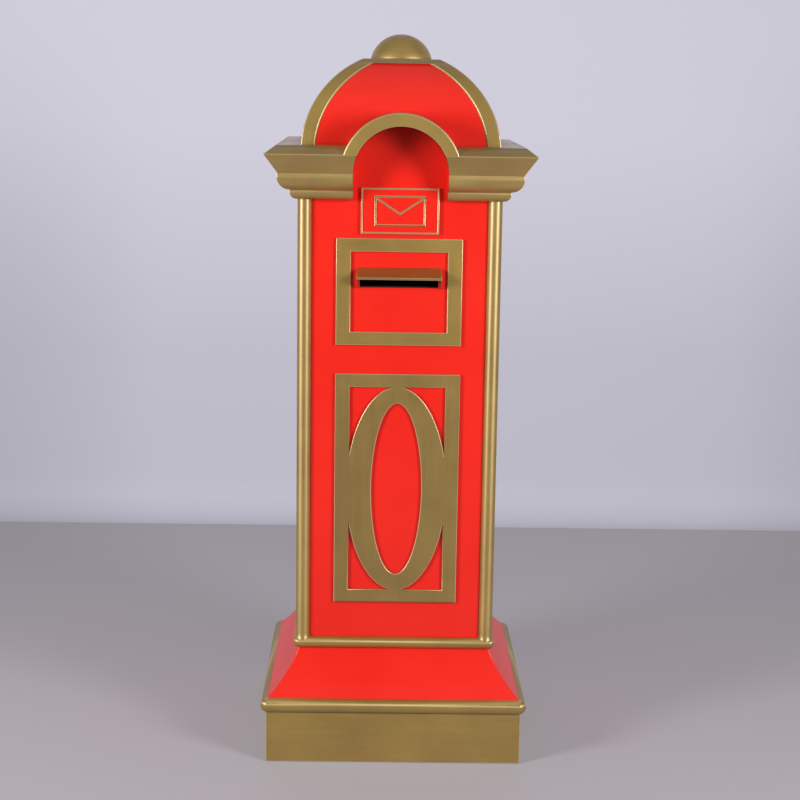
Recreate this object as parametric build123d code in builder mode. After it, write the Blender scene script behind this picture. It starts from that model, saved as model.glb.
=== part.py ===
"""Free-standing square mailbox: plinth, flared base, panelled column, cornice, arched niche and dome.

Origin on the floor under the middle of the box, +Z up, the letter slot facing -Y. Millimetres.
"""
from build123d import *
from math import sqrt
import os

os.makedirs("parts", exist_ok=True)

# ---------------------------------------------------------------- driving dimensions
FIT = 0.2                 # gap left by a glued or screwed joint between curved or notched pieces
EDGE = 1.0                # eased front arris of the flat trim

# plinth
PAD_PROUD = 1.5           # the pads lift the plinth this far off the floor
PAD_R = 20.0
PAD_RECESS = 5.0
PAD_INSET = 50.0          # plinth face to pad centre
PLINTH_HALF = 265.5
PLINTH_H = 107.0
PLINTH_WALL = 15.0
BASE_T = 18.0
ANCHOR_SPACING = 300.0
ANCHOR_R = 6.5
DECK_T = 18.0
NOSING_PROUD = 11.0       # plinth face to the tip of the nosing
NOSING_R = 15.0
NOSING_BACK = 5.0         # flat behind the half round, which carries the flared base

# flared base and astragal
FLARE_H = 91.5
FLARE_TOP_OUT = 6.0       # panel face to the top edge of the flare
FLARE_SAG = 8.5           # depth of the hollow curve below its chord
FLARE_WALL = 6.0
ASTRAGAL_R = 11.4
ASTRAGAL_OUT = 16.2       # panel face to the tip of the astragal

# column
PANEL_FACE = 195.0        # middle of the box to the outer face of a panel
PANEL_T = 12.0
POST_SIDE = 30.0
ROUND_R = 14.5            # corner column
ROUND_PROUD = 11.7        # panel face to the outermost line of a corner column
ROUND_FOOT = 4.0          # swelling at the foot of a corner column
ROUND_FOOT_H = 7.0

# letter slot, hood and chute
SLOT_W = 160.0
SLOT_H = 24.0
SLOT_IN_FRAME = 118.0     # slot frame's lower edge to the slot
HOOD_SIDE = 6.0           # slot end to the outside of a cheek
HOOD_OUT = 40.0
HOOD_TOP_RISE = 41.0      # slot bottom to the top of the hood at the wall
HOOD_LIP_RISE = 20.0      # slot bottom to the underside of the lip
HOOD_LIP = 4.5
HOOD_CHEEK_DROP = 3.0     # the cheeks reach this far below the slot
HOOD_T = 2.5
CHUTE_T = 1.5
CHUTE_SIDE_GAP = 3.0      # slot end to chute cheek
CHUTE_DEPTH = 70.0
CHUTE_DROP = 40.0
CHUTE_CHEEK = 30.0
CHUTE_TAB = 12.0

# flat trim on the front
TRIM_T = 6.0
TRIM_HALF = 128.0
TRIM_W = 29.7
SLOT_FRAME_H = 218.0
SLOT_FRAME_GAP = 59.3     # oval frame to slot frame
SLOT_FRAME_BAR = 27.2     # top and bottom bars
OVAL_FRAME_H = 485.2
OVAL_FRAME_RISE = 76.7    # astragal top to the oval frame
OVAL_FRAME_BAR = 27.7
OVAL_LAP_X = 5.6          # how far the oval runs into the side bars
OVAL_LAP_Z = 1.1
OVAL_BAND_X = 52.0        # width of the oval band at its sides
OVAL_BAND_Z = 35.1        # and at its ends
PLAQUE_SIDE = 16.4        # plaque to the arch opening on each side
PLAQUE_H = 93.0
PLAQUE_GAP = 9.0          # slot frame to plaque
PLAQUE_BELOW = 68.8       # height of plaque below the cornice
PLAQUE_T = 5.0
PLAQUE_BORDER = 4.0
PLAQUE_RELIEF = 2.0
ENVELOPE_W = 104.0
ENVELOPE_H = 62.0
ENVELOPE_STROKE = 4.5
ENVELOPE_FLAP = 34.0      # how far the flap's point hangs below the top edge

# cornice, as projections from the panel face and rises from the cornice's underside
CORNICE_H = 107.6
BEAD_OUT = 27.0           # small lower quarter round
BEAD_R = 17.0
OVOLO_OUT = 51.0
OVOLO_H = 30.0
OVOLO_SWELL = 8.0
OVOLO_FLAT = 4.0
QUIRK = 2.0               # short step between the quarter round and the ovolo
FASCIA_IN = 1.2           # step back from the ovolo to the fascia
TIP_OUT = 76.0
TIP_RISE = 91.0
TOP_OUT = 53.2
CORNICE_DECK_T = 15.0

# arched niche
ARCH_R = 95.4
ARCH_BAND = 25.8
ARCH_SPRING = 52.6        # cornice underside to the arch centre
LINING_T = 2.0
TONGUE_LAP = 13.0         # front panel reaches this far past the arch opening
HOOD_TAIL = 22.0          # arch hood runs this far behind the panel face, into the dome
LINING_SETBACK = 6.0

# dome and finial
DOME_OUT = 2.8            # panel face to the widest line of the dome's arc
DOME_SINK = 13.2          # arc centre below the cornice top
DOME_WALL = 6.0
DOME_H = 171.6            # cornice top to the flat top of the dome
RIB_T = 3.0
RIB_FOOT_W = 26.5         # width of a rib's side at the ledge
RIB_CAP_W = 34.5          # and at the cap, where the strips close on each other
CAP_T = 5.0
CAP_SKIRT = 9.0
FINIAL_R = 65.5
FINIAL_H = 51.0
FINIAL_WALL = 5.0
BOLT_R = 4.0
BOLT_BELOW = 18.0
BOSS_R = 11.0
NUT_T = 6.5
NUT_WIDE = 13.0
WASHER_R = 14.0
WASHER_T = 2.0
THREAD_GAP = 0.05

# letter compartment
CLEAT = 20.0
CLEAT_RISE = 9.0
FLOOR_T = 9.0

# rear door
DOOR_HALF = 140.0         # half the opening
DOOR_H = 580.0
DOOR_RISE = 67.2          # astragal top to the bottom of the opening
DOOR_GAP = 1.5
DOOR_SEAT = 0.4           # door to stop frame
STOP_T = 12.0
STOP_LAP = 12.0           # how far the stop frame shows inside the opening
STOP_BEHIND = 13.0        # how far it reaches behind the panel

# continuous hinge
HINGE_R = 4.0
HINGE_PIN_R = 2.0
HINGE_PLAY = 0.06
HINGE_LEAF_T = 1.5
HINGE_LEAF_W = 28.0
HINGE_KNUCKLES = 9
HINGE_END = 14.0          # door edge to the end of the hinge
KNUCKLE_GAP = 0.4
SCREW_R = 1.8
SCREW_HEAD_R = 3.4
SCREW_L = 9.0
SCREW_COUNT = 5

# cam lock
LOCK_INSET = 26.5         # door's free edge to the lock's axis
LOCK_R = 9.4
LOCK_FLANGE_R = 12.5
LOCK_FLANGE_T = 3.0
LOCK_NUT_WIDE = 24.0
LOCK_NUT_T = 5.0
PLUG_R = 6.0
PLUG_PLAY = 0.06
KEYWAY_W = 2.0
KEYWAY_L = 8.0
KEYWAY_D = 6.0
CAM_GAP = 1.5             # stop frame to cam
CAM_PLAY = 0.5
CAM_T = 2.5
CAM_W = 16.0
CAM_L = 36.0
CAM_SQUARE = 7.0
CAM_SCREW_R = 5.0
CAM_SCREW_T = 2.4

# ---------------------------------------------------------------- levels and faces that follow
PLINTH_BOTTOM = PAD_PROUD
PLINTH_TOP = PLINTH_BOTTOM + PLINTH_H
DECK_TOP = PLINTH_TOP + DECK_T
NOSING_TIP = PLINTH_HALF + NOSING_PROUD
NOSING_TOP = PLINTH_TOP + 2 * NOSING_R
NOSING_INNER = NOSING_TIP - NOSING_R - NOSING_BACK
FLARE_FOOT_HALF = NOSING_TIP - NOSING_R
FLARE_TOP_HALF = PANEL_FACE + FLARE_TOP_OUT
FLARE_TOP = NOSING_TOP + FLARE_H
ASTRAGAL_TIP = PANEL_FACE + ASTRAGAL_OUT
COLUMN_FOOT = FLARE_TOP + 2 * ASTRAGAL_R
PANEL_BACK = PANEL_FACE - PANEL_T
POST_FACE = PANEL_BACK - POST_SIDE
ROUND_C = PANEL_FACE + ROUND_PROUD - ROUND_R
PANEL_EDGE = ROUND_C - ROUND_R - FIT

OVAL_FRAME_Z = COLUMN_FOOT + OVAL_FRAME_RISE
OVAL_OUT_X = TRIM_HALF - TRIM_W + OVAL_LAP_X
OVAL_OUT_Z = OVAL_FRAME_H / 2 - OVAL_FRAME_BAR + OVAL_LAP_Z
SLOT_FRAME_Z = OVAL_FRAME_Z + OVAL_FRAME_H + SLOT_FRAME_GAP
SLOT_Z = SLOT_FRAME_Z + SLOT_IN_FRAME
HOOD_HALF = SLOT_W / 2 + HOOD_SIDE
PLAQUE_FOOT = SLOT_FRAME_Z + SLOT_FRAME_H + PLAQUE_GAP
PLAQUE_HALF = ARCH_R - PLAQUE_SIDE

CORNICE_Z = PLAQUE_FOOT + PLAQUE_BELOW
LEDGE_Z = CORNICE_Z + CORNICE_H
DECK_UNDER = LEDGE_Z - CORNICE_DECK_T
TIP_Z = CORNICE_Z + TIP_RISE
TIP_FACE = PANEL_FACE + TIP_OUT
ARCH_Z = CORNICE_Z + ARCH_SPRING
ARCH_OUT_R = ARCH_R + ARCH_BAND
TONGUE_R = ARCH_R + TONGUE_LAP
DOME_R = PANEL_FACE + DOME_OUT
DOME_Z = LEDGE_Z - DOME_SINK
DOME_TOP = LEDGE_Z + DOME_H
CAP_UNDER = DOME_TOP - CAP_T
FINIAL_TOP = DOME_TOP + FINIAL_H

DOOR_Z = COLUMN_FOOT + DOOR_RISE
STOP_FACE = PANEL_BACK - STOP_T
HINGE_X = -DOOR_HALF + DOOR_GAP / 2
HINGE_Y = PANEL_FACE + HINGE_R
LOCK_X = DOOR_HALF - DOOR_GAP - LOCK_INSET
LOCK_Z = DOOR_Z + DOOR_H / 2
CAM_FACE = STOP_FACE - CAM_GAP

SIDES = {"front": -90, "right": 0, "rear": 90, "left": 180}
CORNERS = {"rear_right": 0, "rear_left": 90, "front_left": 180, "front_right": 270}


def side_plane(angle):
    """Upright plane through the middle: its x points out of the side at this angle, its y up."""
    return Plane.XZ.rotated((0, 0, angle))


def level_plane(height, angle=0):
    """Level plane at a height, its x pointing out of the side at this angle."""
    return Plane.XY.offset(height).rotated((0, 0, angle))


def front_plane(distance):
    """Upright plane at y = -distance: its x is +X, its y is +Z and it faces -Y."""
    return Plane.XZ.offset(distance)


def mitre_wedge(height, depth, angle, half=None):
    """Plan wedge of one side of the box between its two 45-degree mitres, or one half of it."""
    reach = 2 * NOSING_TIP
    low = -reach if half != "positive" else 0
    high = reach if half != "negative" else 0
    with BuildPart() as wedge:
        with BuildSketch(level_plane(height, angle)):
            with BuildLine():
                Polyline((0, 0), (reach, low), (reach, high), close=True)
            make_face()
        extrude(amount=depth)
    return wedge.part


def vault(radius, bottom, top):
    """Square dome on a round profile: two half cylinders crossing, cut off level at both ends."""
    low = sqrt(radius**2 - (bottom - DOME_Z) ** 2)
    high = sqrt(radius**2 - (top - DOME_Z) ** 2)
    mid_z = (bottom + top) / 2
    mid = sqrt(radius**2 - (mid_z - DOME_Z) ** 2)
    with BuildPart() as body:
        for plane, mode in ((Plane.XZ, Mode.ADD), (Plane.YZ, Mode.INTERSECT)):
            with BuildSketch(plane):
                with BuildLine():
                    ThreePointArc((low, bottom), (mid, mid_z), (high, top))
                    Line((high, top), (-high, top))
                    ThreePointArc((-high, top), (-mid, mid_z), (-low, bottom))
                    Line((-low, bottom), (low, bottom))
                make_face()
            extrude(amount=2 * radius, both=True, mode=mode)
    return body.part


def rounded_ring(bottom, tip, radius, inner):
    """Square ring of half-round moulding with ball corners, open inside."""
    with BuildPart() as ring:
        with BuildSketch(level_plane(bottom)):
            Rectangle(2 * tip, 2 * tip)
        extrude(amount=2 * radius)
        fillet(ring.edges().filter_by(Axis.Z), 1.04 * radius)
        fillet(ring.faces().filter_by(Axis.Z).edges(), 0.99 * radius)
        with BuildSketch(level_plane(bottom)):
            Rectangle(2 * inner, 2 * inner)
        extrude(amount=2 * radius, mode=Mode.SUBTRACT)
    return ring.part


def cove_block(foot_half, top_half, sag):
    """Solid of the flared base's section: a hollow curve on all four sides, mitred at the hips."""
    mid_half = (foot_half + top_half) / 2 - sag
    mid_z = (NOSING_TOP + FLARE_TOP) / 2
    with BuildPart() as block:
        for plane, mode in ((Plane.XZ, Mode.ADD), (Plane.YZ, Mode.INTERSECT)):
            with BuildSketch(plane):
                with BuildLine():
                    ThreePointArc((foot_half, NOSING_TOP), (mid_half, mid_z), (top_half, FLARE_TOP))
                    Line((top_half, FLARE_TOP), (-top_half, FLARE_TOP))
                    ThreePointArc((-top_half, FLARE_TOP), (-mid_half, mid_z), (-foot_half, NOSING_TOP))
                    Line((-foot_half, NOSING_TOP), (foot_half, NOSING_TOP))
                make_face()
            extrude(amount=2 * foot_half, both=True, mode=mode)
    return block.part


def tunnel(radius, floor, front, back):
    """Arch-headed passage along Y, from y = -front to y = -back, standing on a level floor."""
    with BuildPart() as passage:
        with BuildSketch(front_plane(front)):
            with Locations((0, ARCH_Z)):
                Circle(radius)
            with Locations((0, ARCH_Z)):
                Rectangle(2 * radius, ARCH_Z - floor, align=(Align.CENTER, Align.MAX))
        extrude(amount=back - front)
    return passage.part


def cornice_length(angle):
    """Cornice section drawn on one side and run well past both mitres."""
    bead_in = PANEL_FACE + BEAD_OUT - BEAD_R
    bead_out = PANEL_FACE + BEAD_OUT
    bead_top = CORNICE_Z + BEAD_R
    ovolo_foot = bead_top + QUIRK
    ovolo_out = PANEL_FACE + OVOLO_OUT
    ovolo_top = ovolo_foot + OVOLO_H
    swell = OVOLO_SWELL / sqrt(2)
    ovolo_mid = ((bead_out + ovolo_out) / 2 + swell, (ovolo_foot + ovolo_top) / 2 - swell)
    with BuildPart() as length:
        with BuildSketch(side_plane(angle)):
            with BuildLine():
                Line((PANEL_FACE, CORNICE_Z), (bead_in, CORNICE_Z))
                RadiusArc((bead_in, CORNICE_Z), (bead_out, bead_top), -BEAD_R)
                Line((bead_out, bead_top), (bead_out, ovolo_foot))
                ThreePointArc((bead_out, ovolo_foot), ovolo_mid, (ovolo_out, ovolo_top))
                Polyline(
                    (ovolo_out, ovolo_top),
                    (ovolo_out, ovolo_top + OVOLO_FLAT),
                    (ovolo_out - FASCIA_IN, ovolo_top + OVOLO_FLAT),
                    (PANEL_FACE + TIP_OUT, TIP_Z),
                    (PANEL_FACE + TOP_OUT, LEDGE_Z),
                    (PANEL_FACE, LEDGE_Z),
                    (PANEL_FACE, CORNICE_Z),
                )
            make_face()
        extrude(amount=2 * NOSING_TIP, both=True)
    return length.part


# ---------------------------------------------------------------- plinth
# Plywood base board: pads let into its underside, and four holes for bolting it to the ground.
BASE_HALF = PLINTH_HALF - PLINTH_WALL - FIT
PAD_PITCH = 2 * (PLINTH_HALF - PAD_INSET)
with BuildPart() as base_board:
    with BuildSketch(level_plane(PLINTH_BOTTOM)):
        Rectangle(2 * BASE_HALF, 2 * BASE_HALF)
    extrude(amount=BASE_T)
    with BuildSketch(level_plane(PLINTH_BOTTOM)):
        with GridLocations(PAD_PITCH, PAD_PITCH, 2, 2):
            Circle(PAD_R + FIT)
    extrude(amount=PAD_RECESS, mode=Mode.SUBTRACT)
    with BuildSketch(level_plane(PLINTH_BOTTOM)):
        with GridLocations(ANCHOR_SPACING, ANCHOR_SPACING, 2, 2):
            Circle(ANCHOR_R)
    extrude(amount=BASE_T, mode=Mode.SUBTRACT)
base_board.part.label = "base_board"
export_step(base_board.part, "parts/base_board.step")

# Four rubber pads, seated in the recesses.
with BuildPart() as foot_pads:
    with BuildSketch(level_plane(0)):
        with GridLocations(PAD_PITCH, PAD_PITCH, 2, 2):
            Circle(PAD_R)
    extrude(amount=PAD_PROUD + PAD_RECESS)
    chamfer(foot_pads.faces().group_by(Axis.Z)[0].edges(), PAD_PROUD / 3)
foot_pads.part.label = "foot_pads"
export_step(foot_pads.part, "parts/foot_pads.step")

# Four plinth boards, mitred at the corners.
for side, angle in SIDES.items():
    with BuildPart() as plinth_side:
        with BuildSketch(level_plane(PLINTH_BOTTOM, angle)):
            with BuildLine():
                Polyline(
                    (PLINTH_HALF, -PLINTH_HALF),
                    (PLINTH_HALF, PLINTH_HALF),
                    (PLINTH_HALF - PLINTH_WALL, PLINTH_HALF - PLINTH_WALL),
                    (PLINTH_HALF - PLINTH_WALL, PLINTH_WALL - PLINTH_HALF),
                    close=True,
                )
            make_face()
        extrude(amount=PLINTH_H)
    plinth_side.part.label = f"plinth_{side}"
    export_step(plinth_side.part, f"parts/plinth_{side}.step")

# Deck board on top of the plinth boards, and the half-round nosing around its edge.
DECK_HALF = NOSING_INNER - FIT
with BuildPart() as plinth_deck:
    with BuildSketch(level_plane(PLINTH_TOP)):
        Rectangle(2 * DECK_HALF, 2 * DECK_HALF)
    extrude(amount=DECK_T)
plinth_deck.part.label = "plinth_deck"
export_step(plinth_deck.part, "parts/plinth_deck.step")

nosing_shape = rounded_ring(PLINTH_TOP, NOSING_TIP, NOSING_R, NOSING_INNER)
with BuildPart() as plinth_nosing:
    add(nosing_shape)
plinth_nosing.part.label = "plinth_nosing"
export_step(plinth_nosing.part, "parts/plinth_nosing.step")

# ---------------------------------------------------------------- flared base and astragal
flare_outside = cove_block(FLARE_FOOT_HALF, FLARE_TOP_HALF, FLARE_SAG)
flare_inside = cove_block(FLARE_FOOT_HALF - FLARE_WALL, FLARE_TOP_HALF - FLARE_WALL, FLARE_SAG)
with BuildPart() as flared_base:
    add(flare_outside)
    add(flare_inside, mode=Mode.SUBTRACT)
flared_base.part.label = "flared_base"
export_step(flared_base.part, "parts/flared_base.step")

astragal_shape = rounded_ring(FLARE_TOP, ASTRAGAL_TIP, ASTRAGAL_R, PANEL_BACK)
with BuildPart() as lower_astragal:
    add(astragal_shape)
lower_astragal.part.label = "lower_astragal"
export_step(lower_astragal.part, "parts/lower_astragal.step")

# ---------------------------------------------------------------- column
# Square posts inside the corners, from the plinth deck to the cornice deck.
for corner, angle in CORNERS.items():
    with BuildPart() as corner_post:
        with BuildSketch(level_plane(DECK_TOP, angle)):
            with Locations((POST_FACE, POST_FACE)):
                Rectangle(POST_SIDE, POST_SIDE, align=Align.MIN)
        extrude(amount=DECK_UNDER - DECK_TOP)
    corner_post.part.label = f"corner_post_{corner}"
    export_step(corner_post.part, f"parts/corner_post_{corner}.step")

# Three-quarter round columns: notched over the posts, swelling where they stand on the astragal.
for corner, angle in CORNERS.items():
    with BuildPart() as corner_column:
        with BuildSketch(level_plane(COLUMN_FOOT - ROUND_FOOT, angle)):
            with Locations((ROUND_C, ROUND_C)):
                Circle(ROUND_R)
        extrude(amount=CORNICE_Z - COLUMN_FOOT + ROUND_FOOT)
        with BuildSketch(level_plane(COLUMN_FOOT - ROUND_FOOT, angle)):
            with Locations((ROUND_C, ROUND_C)):
                Circle(ROUND_R + ROUND_FOOT)
        with BuildSketch(level_plane(COLUMN_FOOT + ROUND_FOOT_H, angle)):
            with Locations((ROUND_C, ROUND_C)):
                Circle(ROUND_R)
        loft()
        add(astragal_shape, mode=Mode.SUBTRACT)
        with BuildSketch(level_plane(FLARE_TOP, angle)):
            Rectangle(PANEL_FACE + FIT, PANEL_EDGE + FIT, align=Align.MIN)
            Rectangle(PANEL_EDGE + FIT, PANEL_FACE + FIT, align=Align.MIN)
            Rectangle(PANEL_BACK + FIT, PANEL_BACK + FIT, align=Align.MIN)
        extrude(amount=CORNICE_Z - FLARE_TOP, mode=Mode.SUBTRACT)
    corner_column.part.label = f"corner_column_{corner}"
    export_step(corner_column.part, f"parts/corner_column_{corner}.step")

# Front panel: the letter slot is cut through it, and its arched tongue backs the niche.
with BuildPart() as front_panel:
    with BuildSketch(front_plane(PANEL_FACE)):
        with Locations((0, COLUMN_FOOT)):
            Rectangle(2 * PANEL_EDGE, DECK_UNDER - COLUMN_FOOT, align=(Align.CENTER, Align.MIN))
        with Locations((0, ARCH_Z)):
            Circle(TONGUE_R)
        with Locations((0, SLOT_Z)):
            Rectangle(SLOT_W, SLOT_H, align=(Align.CENTER, Align.MIN), mode=Mode.SUBTRACT)
    extrude(amount=-PANEL_T)
front_panel.part.label = "front_panel"
export_step(front_panel.part, "parts/front_panel.step")

# Plain side panels.
for side in ("left", "right"):
    with BuildPart() as side_panel:
        with BuildSketch(level_plane(COLUMN_FOOT, SIDES[side])):
            with Locations((PANEL_BACK, 0)):
                Rectangle(PANEL_T, 2 * PANEL_EDGE, align=(Align.MIN, Align.CENTER))
        extrude(amount=DECK_UNDER - COLUMN_FOOT)
    side_panel.part.label = f"{side}_panel"
    export_step(side_panel.part, f"parts/{side}_panel.step")

# Heights of the screws along the hinge: one in the middle of every other knuckle.
HINGE_BOTTOM = DOOR_Z + DOOR_GAP + HINGE_END
HINGE_LEN = DOOR_H - 2 * (DOOR_GAP + HINGE_END)
KNUCKLE_PITCH = HINGE_LEN / HINGE_KNUCKLES
HINGE_MID = HINGE_BOTTOM + HINGE_LEN / 2
SCREW_PITCH = (HINGE_LEN - KNUCKLE_PITCH) / (SCREW_COUNT - 1)
LEAF_INNER = HINGE_R + KNUCKLE_GAP
SCREW_OUT = (LEAF_INNER + HINGE_LEAF_W) / 2

# The rear wall seen from behind: its plane faces +Y, its x is -X and its y is +Z.
REAR = Plane.XZ.rotated((0, 0, 180))


def screw_spots(offset):
    """Screw places up the hinge, at a distance from its pin towards the free edge of the door."""
    return [(-(HINGE_X + offset), HINGE_MID + (row - (SCREW_COUNT - 1) / 2) * SCREW_PITCH)
            for row in range(SCREW_COUNT)]


with BuildPart() as rear_panel:
    with BuildSketch(REAR.offset(PANEL_BACK)):
        with Locations((0, COLUMN_FOOT)):
            Rectangle(2 * PANEL_EDGE, DECK_UNDER - COLUMN_FOOT, align=(Align.CENTER, Align.MIN))
        with Locations((0, DOOR_Z)):
            Rectangle(2 * DOOR_HALF, DOOR_H, align=(Align.CENTER, Align.MIN), mode=Mode.SUBTRACT)
    extrude(amount=PANEL_T)
    with BuildSketch(REAR.offset(PANEL_FACE)):
        with Locations(screw_spots(-SCREW_OUT)):
            Circle(SCREW_R + THREAD_GAP)
    extrude(amount=-(SCREW_L + FIT), mode=Mode.SUBTRACT)
rear_panel.part.label = "rear_panel"
export_step(rear_panel.part, "parts/rear_panel.step")

# ---------------------------------------------------------------- flat trim on the front
with BuildPart() as slot_frame:
    with BuildSketch(front_plane(PANEL_FACE)):
        with Locations((0, SLOT_FRAME_Z + SLOT_FRAME_H / 2)):
            Rectangle(2 * TRIM_HALF, SLOT_FRAME_H)
            Rectangle(2 * (TRIM_HALF - TRIM_W), SLOT_FRAME_H - 2 * SLOT_FRAME_BAR, mode=Mode.SUBTRACT)
    extrude(amount=TRIM_T)
    chamfer(slot_frame.faces().sort_by(Axis.Y)[0].edges(), EDGE)
slot_frame.part.label = "slot_frame"
export_step(slot_frame.part, "parts/slot_frame.step")

OVAL_Z = OVAL_FRAME_Z + OVAL_FRAME_H / 2
with BuildPart() as oval_frame:
    with BuildSketch(front_plane(PANEL_FACE)):
        with Locations((0, OVAL_Z)):
            Rectangle(2 * TRIM_HALF, OVAL_FRAME_H)
            Rectangle(2 * (TRIM_HALF - TRIM_W), OVAL_FRAME_H - 2 * OVAL_FRAME_BAR, mode=Mode.SUBTRACT)
    with BuildSketch(front_plane(PANEL_FACE)) as oval_ring:
        with Locations((0, OVAL_Z)):
            Ellipse(OVAL_OUT_X, OVAL_OUT_Z)
            Ellipse(OVAL_OUT_X - OVAL_BAND_X, OVAL_OUT_Z - OVAL_BAND_Z, mode=Mode.SUBTRACT)
    extrude(amount=TRIM_T)
    trim_face = oval_frame.faces().sort_by(Axis.Y)[0]
    chamfer(trim_face.outer_wire().edges(), EDGE)
oval_frame.part.label = "oval_frame"
export_step(oval_frame.part, "parts/oval_frame.step")

# Name board: red board, gold border strip, and an envelope in place of any words.
PLAQUE_Z = PLAQUE_FOOT + PLAQUE_H / 2
PLAQUE_FACE = PANEL_FACE + PLAQUE_T
with BuildPart() as plaque_board:
    with BuildSketch(front_plane(PANEL_FACE)):
        with Locations((0, PLAQUE_Z)):
            Rectangle(2 * PLAQUE_HALF, PLAQUE_H)
    extrude(amount=PLAQUE_T)
plaque_board.part.label = "plaque_board"
export_step(plaque_board.part, "parts/plaque_board.step")

with BuildPart() as plaque_border:
    with BuildSketch(front_plane(PLAQUE_FACE)):
        with Locations((0, PLAQUE_Z)):
            Rectangle(2 * PLAQUE_HALF, PLAQUE_H)
            Rectangle(2 * (PLAQUE_HALF - PLAQUE_BORDER), PLAQUE_H - 2 * PLAQUE_BORDER, mode=Mode.SUBTRACT)
    extrude(amount=PLAQUE_RELIEF)
plaque_border.part.label = "plaque_border"
export_step(plaque_border.part, "parts/plaque_border.step")

FLAP_STROKE = ENVELOPE_STROKE * sqrt(1 + (2 * ENVELOPE_FLAP / ENVELOPE_W) ** 2)
with BuildPart() as envelope_emblem:
    with BuildSketch(front_plane(PLAQUE_FACE)):
        with Locations((0, PLAQUE_Z)):
            Rectangle(ENVELOPE_W, ENVELOPE_H)
            Rectangle(ENVELOPE_W - 2 * ENVELOPE_STROKE, ENVELOPE_H - 2 * ENVELOPE_STROKE, mode=Mode.SUBTRACT)
    with BuildSketch(front_plane(PLAQUE_FACE)):
        with BuildLine():
            Polyline(
                (-ENVELOPE_W / 2, PLAQUE_Z + ENVELOPE_H / 2),
                (0, PLAQUE_Z + ENVELOPE_H / 2 - ENVELOPE_FLAP),
                (ENVELOPE_W / 2, PLAQUE_Z + ENVELOPE_H / 2),
                (ENVELOPE_W / 2, PLAQUE_Z + ENVELOPE_H / 2 - FLAP_STROKE),
                (0, PLAQUE_Z + ENVELOPE_H / 2 - ENVELOPE_FLAP - FLAP_STROKE),
                (-ENVELOPE_W / 2, PLAQUE_Z + ENVELOPE_H / 2 - FLAP_STROKE),
                close=True,
            )
        make_face()
    extrude(amount=PLAQUE_RELIEF)
envelope_emblem.part.label = "envelope_emblem"
export_step(envelope_emblem.part, "parts/envelope_emblem.step")

# ---------------------------------------------------------------- letter slot hood and chute
# The hood is a folded sheet: sloping top with a lip, and a triangular cheek at each end.
SIDEWAYS = Plane.YZ


HOOD_FALL = HOOD_TOP_RISE - HOOD_LIP_RISE - HOOD_LIP
HOOD_T_UPRIGHT = HOOD_T * sqrt(1 + (HOOD_FALL / HOOD_OUT) ** 2)
HOOD_FRONT = PANEL_FACE + HOOD_OUT
with BuildPart() as slot_hood:
    with BuildSketch(SIDEWAYS):
        with BuildLine():
            Polyline(
                (-PANEL_FACE, SLOT_Z + HOOD_TOP_RISE),
                (-HOOD_FRONT, SLOT_Z + HOOD_LIP_RISE + HOOD_LIP),
                (-HOOD_FRONT, SLOT_Z + HOOD_LIP_RISE),
                (-PANEL_FACE, SLOT_Z - HOOD_CHEEK_DROP),
                close=True,
            )
        make_face()
    extrude(amount=HOOD_HALF, both=True)
    with BuildSketch(SIDEWAYS):
        with BuildLine():
            Polyline(
                (-PANEL_FACE, SLOT_Z + HOOD_TOP_RISE - HOOD_T_UPRIGHT),
                (HOOD_T - HOOD_FRONT, SLOT_Z + HOOD_LIP_RISE + HOOD_LIP - HOOD_T_UPRIGHT),
                (HOOD_T - HOOD_FRONT, SLOT_Z - HOOD_TOP_RISE),
                (-PANEL_FACE, SLOT_Z - HOOD_TOP_RISE),
                close=True,
            )
        make_face()
    extrude(amount=HOOD_HALF - HOOD_T, both=True, mode=Mode.SUBTRACT)
slot_hood.part.label = "slot_hood"
export_step(slot_hood.part, "parts/slot_hood.step")

# The chute is an open tray sloping down behind the slot, tabbed to the back of the panel.
CHUTE_HALF = SLOT_W / 2 + CHUTE_SIDE_GAP
with BuildPart() as letter_chute:
    with BuildSketch(SIDEWAYS):
        with BuildLine():
            Polyline(
                (-PANEL_BACK, SLOT_Z - FIT),
                (-PANEL_BACK, SLOT_Z + CHUTE_CHEEK),
                (CHUTE_DEPTH - PANEL_BACK, SLOT_Z + CHUTE_CHEEK - CHUTE_DROP),
                (CHUTE_DEPTH - PANEL_BACK, SLOT_Z - FIT - CHUTE_DROP),
                close=True,
            )
        make_face()
    extrude(amount=CHUTE_HALF + CHUTE_T, both=True)
    with BuildSketch(SIDEWAYS):
        with BuildLine():
            Polyline(
                (-PANEL_BACK, SLOT_Z - FIT + CHUTE_T),
                (-PANEL_BACK, SLOT_Z + 2 * CHUTE_CHEEK),
                (CHUTE_DEPTH - PANEL_BACK, SLOT_Z + 2 * CHUTE_CHEEK - CHUTE_DROP),
                (CHUTE_DEPTH - PANEL_BACK, SLOT_Z - FIT + CHUTE_T - CHUTE_DROP),
                close=True,
            )
        make_face()
    extrude(amount=CHUTE_HALF, both=True, mode=Mode.SUBTRACT)
    with BuildSketch(front_plane(PANEL_BACK)):
        with Locations((CHUTE_HALF, SLOT_Z), (-CHUTE_HALF - CHUTE_T - CHUTE_TAB, SLOT_Z)):
            Rectangle(CHUTE_T + CHUTE_TAB, CHUTE_CHEEK / 2, align=Align.MIN)
    extrude(amount=-CHUTE_T)
letter_chute.part.label = "letter_chute"
export_step(letter_chute.part, "parts/letter_chute.step")

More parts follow.
